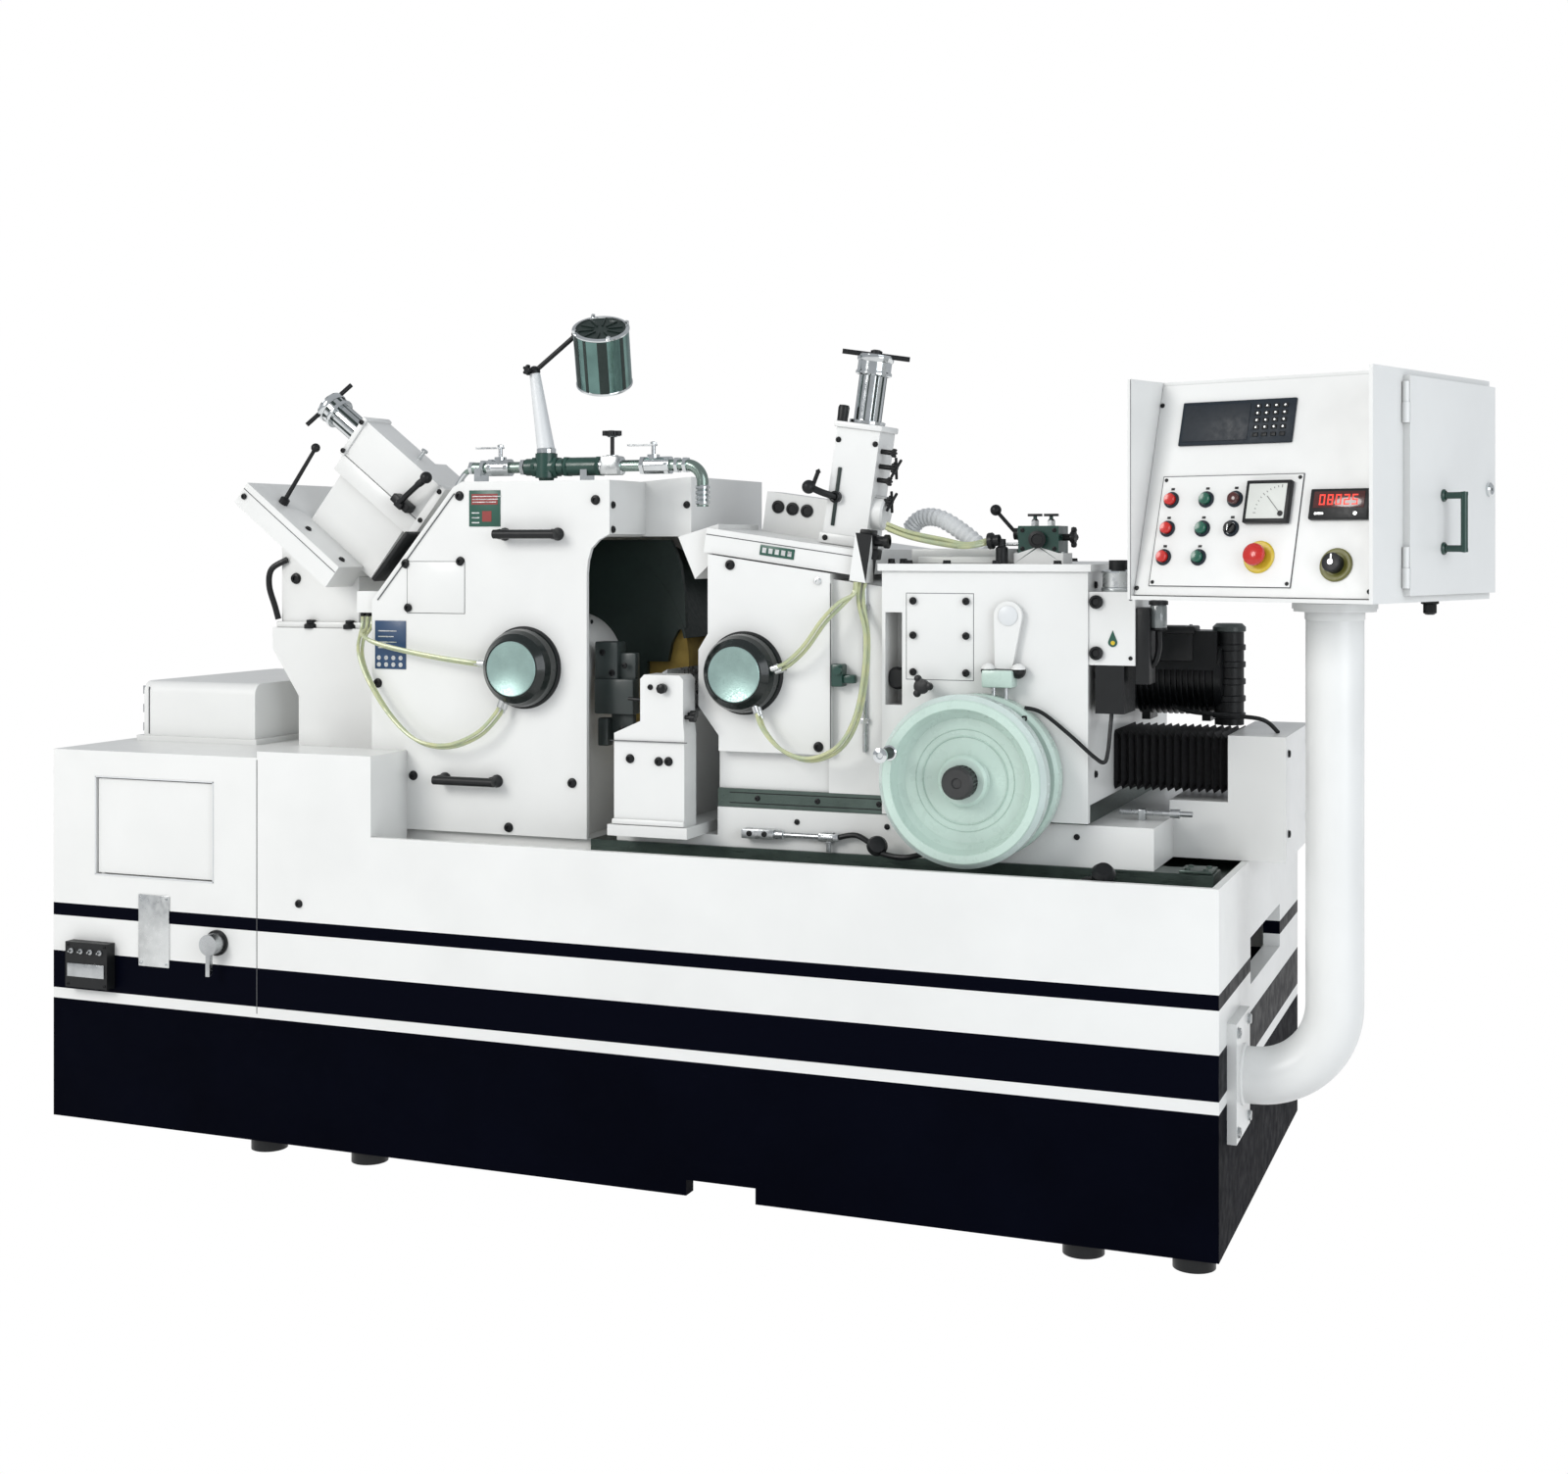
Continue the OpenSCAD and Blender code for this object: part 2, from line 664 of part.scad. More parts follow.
module lamp_arm() {
  color("#d6d9d9") {
    rod_z(stem_r, tee_x, line_y, [line_z + bolt_r, lamp_foot_z + bolt_r]);
    hull() {
      translate([tee_x, line_y, lamp_foot_z]) cylinder(r = lamp_foot_r, h = bolt_r, $fn = hull_fn);
      translate(lamp_elbow) sphere(r = lamp_elbow_r, $fn = hull_fn);
    }
  }
  color("#2a2d30") {
    hull() {
      translate(lamp_elbow) sphere(r = lamp_pin_r, $fn = hull_fn);
      translate(lamp_joint) sphere(r = lamp_pin_r, $fn = hull_fn);
    }
    rod_y(lamp_pin_r, lamp_joint[0], [lamp_joint[1] - lamp_neck / 2, lamp_joint[1] + lamp_neck],
      lamp_joint[2]);
  }
}

module at_lamp() translate(lamp_centre) rotate([lamp_pitch, lamp_tilt, 0]) children();

module lamp_head()
  color("#3a4644") {
    at_lamp()
      difference() {
        translate([0, 0, -lamp_l / 2]) cylinder(r = lamp_r, h = lamp_l);
        translate([0, 0, -lamp_l / 2 - over])
          cylinder(r = lamp_r - lamp_shell, h = lamp_l - lamp_neck + over);
      }
    difference() {
      translate([lamp_joint[0], lamp_joint[1] + lamp_neck / 2 + slide_gap, lamp_joint[2]]) rotate([-90, 0, 0])
        cylinder(r = 2 * lamp_pin_r, h = lamp_pin_r * 2);
      rod_y(lamp_pin_r + run_gap, lamp_joint[0], [lamp_joint[1], lamp_joint[1] + 3 * lamp_neck],
        lamp_joint[2]);
    }
    hull() {
      translate(lamp_joint + [2 * lamp_pin_r, lamp_neck / 2 + lamp_pin_r + slide_gap, 0])
        sphere(r = lamp_pin_r / 2, $fn = hull_fn);
      at_lamp() translate([-lamp_r, 0, lamp_l * 0.4]) sphere(r = lamp_pin_r, $fn = hull_fn);
    }
  }

// Left dresser, leaning down to the right towards the grinding wheel
left_foot_x = [-1030, -790];
left_foot_y = [-280, 180];
left_foot_z = [1290, 1590];
left_slide = [-677, 1703];
slab_x = [-322, -256];
slab_y = [-400, 200];
slab_z = [-80, 277];
saddle_y = [-285, 190];
saddle_z = [-115, 125];
body_l = 280;
body_y = [-300, -190];
quill_out = 104;
right_quill_out = 128;
cap_r = 40;
cap_l = 46;
tee_l = 160;
tee_bar_r = 6;
tip_l = 46;

// The dresser's frame: Z along the axis away from the wheel
module left_frame()
  translate([left_slide[0], 0, left_slide[1]]) rotate([0, left_lean - 90, 0]) children();

module left_dresser_base() {
  middle = (slab_x[0] + slab_x[1]) / 2;
  color("#e7e9e9") {
    difference() {
      span_box(left_foot_x, left_foot_y, left_foot_z);
      left_frame() span_box([middle, 0], slab_y, [-left_foot_z[0], left_foot_z[0]]);
    }
    left_frame() {
      span_box(slab_x, slab_y, slab_z);
      span_box([slab_x[1] - over, -dresser_w / 2 - slide_gap], saddle_y, saddle_z);
    }
  }
}

module left_dresser_body()
  color("#eef0ef") left_frame()
    difference() {
      translate([-dresser_w / 2, body_y[0], -body_l / 2]) cube([dresser_w, body_y[1] - body_y[0], body_l]);
      translate([0, (body_y[0] + body_y[1]) / 2, -body_l]) cylinder(r = quill_r + run_gap, h = 2 * body_l);
    }

module dresser_quill(l, y)
  translate([0, y, 0]) {
    color("#b9bec1") {
      translate([0, 0, -l / 2 - tip_l]) cylinder(r = quill_r, h = l + tip_l + quill_out);
      translate([0, 0, l / 2 + quill_out]) cylinder(r = cap_r, h = cap_l);
    }
    color("#1a1c1e")
      translate([0, 0, l / 2 + quill_out + cap_l]) rotate([0, 90, 30])
        translate([0, 0, -tee_l / 2]) cylinder(r = tee_bar_r, h = tee_l);
    color("#6d7376")
      translate([0, 0, -l / 2 - tip_l * 1.5]) cylinder(r1 = bolt_r, r2 = quill_r / 2, h = tip_l / 2 + over);
  }

module left_dresser_quill() left_frame() dresser_quill(body_l, (body_y[0] + body_y[1]) / 2);

// Bed ways and lower slide
way_w = 90;
rail_h = 22;
module bed_ways() {
  color("#33413c")
  difference() {
    span_box(bed_x, bed_y, [deck_z, wall_top]);
    span_box([bed_x[0] + casting_t, bed_x[1] - casting_t], [bed_y[0] + casting_t, bed_y[1] - casting_t],
      [deck_z - over, wall_top - rail_h - casting_t]);
    for (y = [bed_y[0] + way_w, (bed_y[0] + bed_y[1]) / 2 + way_w / 2])
      span_box([bed_x[0] - over, bed_x[1] + over], [y, y + (bed_y[1] - bed_y[0] - 3 * way_w) / 2],
        [wall_top - rail_h, wall_top + over]);
  }
}

lower_x = [36, 1330];
lower_y = [-432, 412];
bracket_x = [1453, 1581];
bracket_y = [-210, 200];
bracket_z = [817, 1080];
bracket_step_x = [1322, 1453];
bracket_step_top = 930;
rest_step = 826;
rest_room = 300;
module slide_plate()
  color("#e2e5e5")
  difference() {
    span_box(lower_x, lower_y, [wall_top + slide_gap, lower_top]);
    span_box([lower_x[0] - over, rest_room], [lower_y[0] - over, lower_y[1] + over],
      [rest_step, lower_top + over]);
  }
module lower_slide() {
  slide_plate();
  color("#e9ebea") {
    span_box(bracket_x, bracket_y, bracket_z);
    span_box(bracket_step_x, bracket_y, [lower_top, bracket_step_top]);
    span_box([bracket_step_x[0], bracket_x[1]], bracket_y, [wall_top + slide_gap, lower_top]);
  }
}

// Workrest: a foot and a post at the front, and a web that carries the blade through the throat
rest_y = [-520, -452];
foot_t = 26;
rest_inset = 12;
shoulder_z = [1066, 1096];
post_x = [140, 250];
post_top = 1205;
web_x = [118, 190];
web_end = 420;
web_h = 1100;
module workrest() {
  front = [[rest_x + rest_inset, rest_step], [rest_x + rest_l - rest_inset, rest_step],
    [rest_x + rest_l - rest_inset, shoulder_z[0]], [post_x[1], shoulder_z[1]], [post_x[1], post_top - over],
    [post_x[1] - over, post_top], [post_x[0] + over, post_top], [post_x[0], post_top - over],
    [post_x[0], shoulder_z[1]], [rest_x + rest_inset, shoulder_z[0]]];
  color("#eceeee")
  difference() {
    union() {
      span_box([rest_x, rest_x + rest_l], [rest_y[0] - rest_inset, lower_y[1]],
        [rest_step, rest_step + foot_t]);
      plate_xz(front, rest_y);
      span_box(web_x, [rest_y[1] - over, web_end], [rest_step, web_h]);
    }
    span_box([blade_x[0], blade_x[1]], [blade_y[0], web_end + over], [web_h - blade_in, web_h + over]);
  }
}

blade_left = 150;
blade_x = [blade_left, blade_left + blade_t];
blade_y = [-420, 380];
blade_in = 50;
blade_slope = 8;
module work_blade()
  color("#8d9498")
  plate_xz([[blade_x[0], web_h - blade_in], [blade_x[1], web_h - blade_in], [blade_x[1], blade_top],
    [blade_x[0], blade_top - blade_slope]], blade_y);

// Upper slide: its guideway and the slide box
slide_way_x = [300, 1184];
slide_way_y = [-430, 430];
box_wall = 14;
lid_over = 8;
lid_t = 16;
slide_box_y = [-slide_box_d / 2, slide_box_d / 2];
recess_x = [722, 762];
recess_z = [1146, 1356];
recess_d = 90;
hub_r = 58;
hub_out = 60;
wheel_shaft_r = 16;

module slide_way()
  color("#2f3d39") span_box(slide_way_x, slide_way_y, [lower_top + slide_gap, way_top]);

module slide_box() {
  x = [slide_box_x, slide_box_x + slide_box_l];
  color("#f0f1ef") {
    difference() {
      union() {
        difference() {
          span_box(x, slide_box_y, [lower_top + over / 2, slide_box_top]);
          span_box([x[0] + box_wall, x[1] - box_wall],
            [slide_box_y[0] + box_wall, slide_box_y[1] - box_wall], [lower_top, slide_box_top - lid_t]);
        }
        span_box([x[0] - lid_over, x[1] + lid_over],
          [slide_box_y[0] - lid_over, slide_box_y[1] + lid_over], [slide_box_top - lid_t, slide_box_top]);
        span_box([x[0], recess_x[1] + box_wall],
          [slide_box_y[0], slide_box_y[0] + recess_d + box_wall],
          [recess_z[0] - box_wall, recess_z[1] + box_wall]);
        rod_y(hub_r, handwheel_x, [slide_box_y[0] - hub_out, slide_box_y[0] + 2 * box_wall], handwheel_z);
      }
      span_box(recess_x, [slide_box_y[0] - over, slide_box_y[0] + recess_d], recess_z);
      span_box([slide_way_x[0], slide_way_x[1] + over * 2], slide_way_y, [lower_top, way_top]);
      rod_y(wheel_shaft_r + run_gap, handwheel_x,
        [slide_box_y[0] - 2 * hub_out, slide_box_y[0] + 3 * box_wall], handwheel_z);
      rod_y(lever_pin_r + run_gap, lever_pivot[0],
        [slide_box_y[0] - over, slide_box_y[0] + 2 * box_wall], lever_pivot[1]);
    }
  }
}

lever_pivot = [1013, 1352];
lever_pin_r = 12;
lever_boss_r = 32;
lever_end_r = 20;
lever_span = 112;
arm_t = 16;
knob_r = 17;
module infeed_lever() {
  y = slide_box_y[0] - slide_gap;
  bar_z = lever_pivot[1] - lever_span - lever_end_r / 2;
  color("#eef0ef") {
    hull() {
      rod_y(lever_boss_r, lever_pivot[0], [y - arm_t, y], lever_pivot[1]);
      rod_y(lever_end_r, lever_pivot[0] - over, [y - arm_t, y], lever_pivot[1] - lever_span);
    }
    rod_y(lever_pin_r, lever_pivot[0], [y - arm_t / 2, slide_box_y[0] + 2 * box_wall], lever_pivot[1]);
  }
  color("#141517") {
    for (i = [-1, 1])
      translate([lever_pivot[0] - over + i * 2 * knob_r, y - knob_r, bar_z]) sphere(r = knob_r);
    rod_x(knob_r / 3, [lever_pivot[0] - over - 2 * knob_r, lever_pivot[0] - over + 2 * knob_r],
      y - knob_r, bar_z);
  }
}

// Handwheel: a dished disc with a rim, a hub knob and a crank handle
rim_w = 40;
rim_t = 42;
web_t = 12;
hub_knob_r = 34;
hub_knob_l = 15;
wheel_face = -580;
wheel_back = -520;
crank_angle = 160;
crank_r = 13;
crank_l = 66;
crank_share = 0.9;
module handwheel() {
  depth = wheel_back - wheel_face;
  color("#bcd8cb")
    translate([handwheel_x, wheel_back, handwheel_z]) rotate([90, 0, 0]) rotate_extrude($fn = 96)
      polygon([[0, 0], [handwheel_r * 0.86, 0], [handwheel_r, over], [handwheel_r, rim_t],
        [handwheel_r - over, depth * 0.9], [handwheel_r - rim_w + over, depth * 0.9],
        [handwheel_r - rim_w, rim_t * 0.8], [handwheel_r * 0.72, web_t * 1.6],
        [handwheel_r * 0.5, web_t * 1.2], [handwheel_r * 0.3, web_t * 1.6], [hub_r * 0.8, web_t * 2.2],
        [0, web_t * 2.2]]);
  color("#3c3f40")
    rod_y(hub_knob_r, handwheel_x, [wheel_face - hub_knob_l, wheel_back - over], handwheel_z);
  color("#8a8f91")
    rod_y(wheel_shaft_r, handwheel_x, [wheel_back - over, slide_box_y[0] + 2 * box_wall], handwheel_z);
  color("#1b1d1f")
    translate([handwheel_x + cos(crank_angle) * handwheel_r * crank_share, wheel_face + over,
      handwheel_z + sin(crank_angle) * handwheel_r * crank_share])
      rotate([90, 0, 0]) cylinder(r = crank_r, h = crank_l);
}

// Hydraulic valve on the slide box, with its ball lever
valve_x = [1000, 1094];
valve_y = [-330, -240];
valve_top = 1552;
valve_foot_h = 24;
valve_pivot_r = 9;
ball_r = 13;
ball_lever_l = 74;
ball_lever_lean = 42;
valve_mid = [(valve_x[0] + valve_x[1]) / 2, (valve_y[0] + valve_y[1]) / 2];
valve_lever_z = 1534;

module hydraulic_valve() {
  color("#dfe1e0")
    span_box([valve_x[0] - over, valve_x[1] + over], valve_y, [slide_box_top, slide_box_top + valve_foot_h]);
  color("#143a30") {
    span_box(valve_x, valve_y, [slide_box_top + valve_foot_h, valve_top]);
    rod_y(2 * valve_pivot_r, valve_mid[0], [valve_y[0] - over, valve_y[0]],
      (valve_top + slide_box_top + valve_foot_h) / 2);
    difference() {
      rod_x(2 * valve_pivot_r, [valve_x[0] - over, valve_x[0]], valve_mid[1], valve_lever_z);
      rod_x(valve_pivot_r / 2 + run_gap, [valve_x[0] - 2 * over, valve_x[0] + over], valve_mid[1],
        valve_lever_z);
    }
    for (i = [0.3, 0.7])
      rod_z(valve_pivot_r / 2, valve_x[0] + i * (valve_x[1] - valve_x[0]), valve_mid[1],
        [valve_top, valve_top + 2 * ball_r]);
  }
}

module hydraulic_lever() {
  x = [valve_x[0] - 2 * over - slide_gap, valve_x[0] - over - slide_gap];
  color("#1b1e20") {
    rod_x(valve_pivot_r / 2, [x[0], valve_x[0] - slide_gap], valve_mid[1], valve_lever_z);
    rod_x(1.5 * valve_pivot_r, x, valve_mid[1], valve_lever_z);
    translate([x[0] + over / 2, valve_mid[1], valve_lever_z]) rotate([0, -ball_lever_lean, 0]) {
      cylinder(r = valve_pivot_r / 2, h = ball_lever_l);
      translate([0, 0, ball_lever_l]) sphere(r = ball_r);
    }
  }
}

// Lubrication unit on the right of the slide box
lube_x = [1193, 1292];
lube_y = [-446, -330];
lube_z = [1246, 1406];
tank_x = [1204, 1268];
tank_bottom = 1140;
lube_cap_r = 34;
lube_cap_h = 46;
module lube_unit() {
  mid_x = (lube_x[0] + lube_x[1]) / 2;
  mid_y = (lube_y[0] + lube_y[1]) / 2;
  color("#eff0ee") span_box([slide_box_x + slide_box_l, lube_x[1]], lube_y, lube_z);
  color("#1c2224") {
    span_box(tank_x, lube_y, [tank_bottom, lube_z[0]]);
    rod_z(lube_cap_r * 0.6, mid_x, mid_y, [lube_z[1] + lube_cap_h, lube_z[1] + lube_cap_h * 1.5]);
  }
  color("#a9bdb6") rod_z(lube_cap_r, mid_x, mid_y, [lube_z[1], lube_z[1] + lube_cap_h]);
}

// Motor of the regulating wheel, on the right of the slide box
motor_z = 1205;
motor_r = 92;
motor_x = [1189, 1400];
motor_y = 60;
fan_r = 34;
fan_x = 1420;
fan_z = [1086, 1318];
module feed_motor()
  color("#0d0e10") {
    rod_x(motor_r, motor_x, motor_y, motor_z);
    rod_z(fan_r, fan_x, motor_y - motor_r / 2, fan_z);
    span_box([motor_x[0] + fan_r, motor_x[1]], [motor_y - motor_r - over, motor_y],
      [motor_z + over, motor_z + motor_r + over]);
    for (x = [motor_x[0] + fan_r, motor_x[1] - fan_r])
      span_box([x - over, x + over], [motor_y - motor_r / 2, motor_y + motor_r / 2],
        [bellows_z[1] + over, motor_z]);
  }

// Bellows between the slide box and the end bracket
bellows_z = [945, 1082];
bellows_y = [-190, 60];
fold_d = 16;
module bellows() {
  pitch = bellows_l / bellows_folds;
  x0 = slide_box_x + slide_box_l;
  function zigzag(low, high) = concat(
    [for (i = [0:2 * bellows_folds]) [x0 + i * pitch / 2, low + (i % 2) * fold_d]],
    [for (i = [2 * bellows_folds:-1:0]) [x0 + i * pitch / 2, high - (i % 2) * fold_d]]);
  color("#0b0c0d")
  intersection() {
    plate_xz(zigzag(bellows_z[0], bellows_z[1]), bellows_y);
    translate([0, 0, bellows_z[0]]) linear_extrude(bellows_z[1] - bellows_z[0])
      polygon(zigzag(bellows_y[0], bellows_y[1]));
  }
}

// Regulating wheel, its spindle and its housing
housing_y = [-450, 430];
reg_front_y = [-450, -165];
reg_rear_y = [170, 430];
housing_top = [1487, 1431];
housing_x = 282;
nose_x = 258;
waist_x = 310;
nose_z = [1062, 1130, 1262, 1300];
waist_rise = 89;
housing_waist = way_top + waist_rise;
housing_neck = 1030;
housing_base = [300, 712];
reg_link_x = [588, 712];
reg_flange_r = 90;
reg_pulley_l = 90;

module regulating_housing() {
  front = [[housing_x, nose_z[3]], [nose_x, nose_z[2]], [nose_x, nose_z[1]], [waist_x, nose_z[0]],
    [waist_x, housing_waist], [reg_link_x[0], housing_waist],
    [reg_link_x[0], housing_top[1] + 2 * bolt_r], [housing_x, housing_top[0]]];
  rear = [[housing_x, nose_z[0]], [waist_x, housing_waist], [reg_link_x[1], housing_waist],
    [reg_link_x[1], housing_top[1] - over], [housing_x, housing_top[0]]];
  link = [[reg_link_x[0] - over, way_top], [reg_link_x[1], way_top],
    [reg_link_x[1], housing_top[1] - 3 * bolt_r], [reg_link_x[0] - over, housing_top[1]]];
  color("#f1f2f0")
  difference() {
    union() {
      plate_xz(front, reg_front_y);
      plate_xz(rear, reg_rear_y);
      plate_xz(link, [housing_y[0] + 2 * over, housing_y[1]]);
      span_box(housing_base, [housing_y[0] + 3 * over, housing_y[1]], [way_top, housing_neck]);
    }
    rod_y(reg_shaft_r + run_gap, reg_x, [housing_y[0] - over, housing_y[1] + over], axis_z);
    rod_y(reg_r + over, reg_x, [reg_front_y[1] - bolt_r, reg_rear_y[0] + bolt_r], axis_z);
  }
}

module regulating_wheel()
  color("#4a3a2c")
  difference() {
    rod_y(reg_r, reg_x, wheel_span, axis_z);
    rod_y(reg_shaft_r, reg_x, [wheel_span[0] - over, wheel_span[1] + over], axis_z);
  }

module regulating_spindle()
  color("#a4a8ab") {
    rod_y(reg_shaft_r, reg_x, [housing_y[0], pulley_y[0]], axis_z);
    rod_y(reg_flange_r, reg_x, [pulley_y[0] - over, pulley_y[0] + reg_pulley_l], axis_z);
  }

module regulating_cap() cap_at(reg_x, reg_cap_r, face_y);

module regulating_hoses()
  color("#d9dca6") {
    hose_pair(reg_hose_a, reg_gap_a);
    hose_pair(reg_hose_b, reg_gap_b);
  }

// Right dresser, standing on a slab that leans with it
right_seat = [584, 1520];
right_slab_x = [-310, 66];
right_slab_y = [-440, 200];
right_slab_z = [-72, -14];
right_body_h = 266;
right_body_y = [-345, -235];
bracket_block_x = [-270, -96];
bracket_block_y = [-190, -90];
bracket_block_h = 84;
chute_y = [-420, -170];
chute_outline = [[192, 1528], [296, 1558], [296, 1496], [housing_x - slide_gap, 1496],
  [housing_x - slide_gap, 1471], [236, 1428]];
manifold_x = [66, 106];
manifold_y = [-458, -404];
manifold_z = [-84, 26];
module right_frame() translate([right_seat[0], 0, right_seat[1]]) rotate([0, right_lean, 0]) children();

module right_dresser_base() {
  color("#e6e9e9") {
    right_frame() {
      span_box(right_slab_x, right_slab_y, right_slab_z);
      span_box(bracket_block_x, bracket_block_y, [right_slab_z[1], bracket_block_h]);
    }
    plate_xz(chute_outline, chute_y);
  }
  color("#121416") right_frame()
    span_box(manifold_x, manifold_y, manifold_z);
}

module right_dresser_body()
  color("#eef0ef") right_frame()
    difference() {
      span_box([-dresser_w / 2, dresser_w / 2], right_body_y, [right_slab_z[1] + slide_gap, right_body_h]);
      translate([0, (right_body_y[0] + right_body_y[1]) / 2, right_slab_z[1] - over])
        cylinder(r = quill_r + run_gap, h = 2 * right_body_h);
    }

module right_dresser_quill()
  right_frame() translate([0, (right_body_y[0] + right_body_y[1]) / 2, 0]) {
    color("#b9bec1") {
      translate([0, 0, tip_l]) cylinder(r = quill_r, h = right_body_h - tip_l + right_quill_out);
      translate([0, 0, right_body_h + right_quill_out]) cylinder(r = cap_r, h = cap_l);
    }
    color("#1a1c1e") translate([0, 0, right_body_h + right_quill_out + cap_l])
      rotate([0, 90, 20]) translate([0, 0, -tee_l / 2]) cylinder(r = tee_bar_r, h = tee_l);
  }

// Pendant arm: a plate on the base, a bent tube and a bearing at its top
flange_y = [-512, -330];
arm_flange_z = [248, 502];
flange_thick = 20;
arm_run_z = 376;
arm_bend_r = 165;
arm_wall = 6;
bearing_r = 30;
bearing_h = 60;
module arm_solid(r)
  union() {
    rod_x(r, [base_x[1] + flange_thick / 2, arm_x - arm_bend_r], arm_y, arm_run_z);
    translate([arm_x - arm_bend_r, arm_y, arm_run_z + arm_bend_r]) rotate([90, 0, 0]) rotate([0, 0, -90])
      rotate_extrude(angle = 90) translate([arm_bend_r, 0]) circle(r = r);
    rod_z(r, arm_x, arm_y, [arm_run_z + arm_bend_r, arm_top]);
  }

module pendant_arm()
  color("#f0f0ed") {
    span_box([base_x[1], base_x[1] + flange_thick], flange_y, arm_flange_z);
    difference() {
      arm_solid(arm_r);
      intersection() {
        arm_solid(arm_r - arm_wall);
        span_box([base_x[1] + flange_thick, 2 * arm_x], [2 * arm_y, 0], [0, arm_top - bearing_h]);
      }
      rod_z(bearing_r + run_gap, arm_x, arm_y, [arm_top - bearing_h - over, arm_top + over]);
    }
  }

// Pendant: a box on the arm, a sloped front plate with the controls, and a side door
pendant_left = -338;
pendant_front = -272;
pendant_u = [pendant_left, pendant_left + pendant_w];
pendant_v = [pendant_front, pendant_front + pendant_d];
sheet = 8;
plate_t = 6;
side_cut_v = [150, 530];
side_cut_z = [30, 430];
door_v = [135, 556];
pdoor_z = [14, 452];
pdoor_t = 14;
hinge_r = 8;
hinge_pin_r = 3;
hinge_spans = [[29, 111], [358, 440]];
grip_v = 292;
grip_z = [101, 223];
grip_r = 7;
grip_off = 44;
mouth_r = 85;
spigot_l = 50;

module at_pendant() translate([arm_x, arm_y, 0]) rotate([0, 0, -pendant_yaw]) children();
module at_door() at_pendant() translate([pendant_u[1], pendant_v[0], pendant_z]) children();
module at_panel()
  at_pendant() translate([(pendant_u[0] + pendant_u[1]) / 2, pendant_v[0] + sheet, pendant_z])
    rotate([-panel_lean, 0, 0]) children();
hinge_at = [pdoor_t / 2, door_v[0] - hinge_pin_r];

module pendant_box() {
  slope = pendant_h * tan(panel_lean);
  top = pendant_z + pendant_h;
  color("#eeeeea") {
    at_pendant() {
      difference() {
        translate([pendant_u[0], pendant_v[0], pendant_z]) cube([pendant_w, pendant_d, pendant_h]);
        translate([pendant_u[0] + sheet, pendant_v[0] + sheet, pendant_z + sheet])
          cube([pendant_w - 2 * sheet, pendant_d - 2 * sheet, pendant_h - 2 * sheet]);
        translate([pendant_u[0] + sheet, 0, 0]) rotate([90, 0, 90]) linear_extrude(pendant_w - 2 * sheet)
          polygon([[pendant_v[0] - over, pendant_z + sheet], [pendant_v[0] + sheet, pendant_z + sheet],
            [pendant_v[0] + sheet + slope, top - sheet], [pendant_v[0] + sheet + slope, top + over],
            [pendant_v[0] - over, top + over]]);
        translate([pendant_u[1] - sheet - over, pendant_v[0] + side_cut_v[0], pendant_z + side_cut_z[0]])
          cube([sheet + 2 * over, side_cut_v[1] - side_cut_v[0], side_cut_z[1] - side_cut_z[0]]);
      }
      translate([0, 0, arm_top + slide_gap]) cylinder(r = mouth_r, h = pendant_z - arm_top - slide_gap);
      translate([0, 0, arm_top - spigot_l]) cylinder(r = bearing_r, h = spigot_l + over);
    }
    for (z = hinge_spans)
      at_door() difference() {
        translate([hinge_at[0], hinge_at[1], z[0]]) cylinder(r = hinge_r, h = (z[1] - z[0]) / 2 - slide_gap);
        translate([hinge_at[0], hinge_at[1], z[0] - over])
          cylinder(r = hinge_pin_r + run_gap, h = z[1] - z[0] + 2 * over);
      }
  }
}

// Front plate of the pendant, with its instruments
panel_h = (pendant_h - sheet) / cos(panel_lean);
panel_room = 1;
display_u = [-204, 52];
display_w = [340, 428];
display_t = 4;
sub_u = [-232, 92];
sub_w = [31, 268];
sub_t = 2;
meter_u = [-25, 72];
meter_w = [165, 251];
meter_t = 14;
counter_u = [119, 242];
counter_w = [172, 231];
counter_t = 10;
column_u = [-206, -123, -56];
row_w = [92, 154, 217];
button_r = 12;
bezel_r = 16;
bezel_h = 6;
button_h = 9;
button_stem_r = 5;
button_travel = 4;
button_back = 16;
stop_at = [16, 93];
stop_r = 21;
stop_ring_r = 30;
stop_h = 24;
stop_travel = 6;
knob_at = [186, 78];
speed_r = 19;
speed_ring_r = 32;
speed_h = 20;

// A raised block on the front plate
module on_panel(u, w, t) translate([u[0], -t, w[0]]) cube([u[1] - u[0], t, w[1] - w[0]]);
// A disc on the front plate, between two heights over its face
module disc_at(p, r, out)
  translate([p[0], -out[0], p[1]]) rotate([90, 0, 0]) cylinder(r = r, h = out[1] - out[0]);

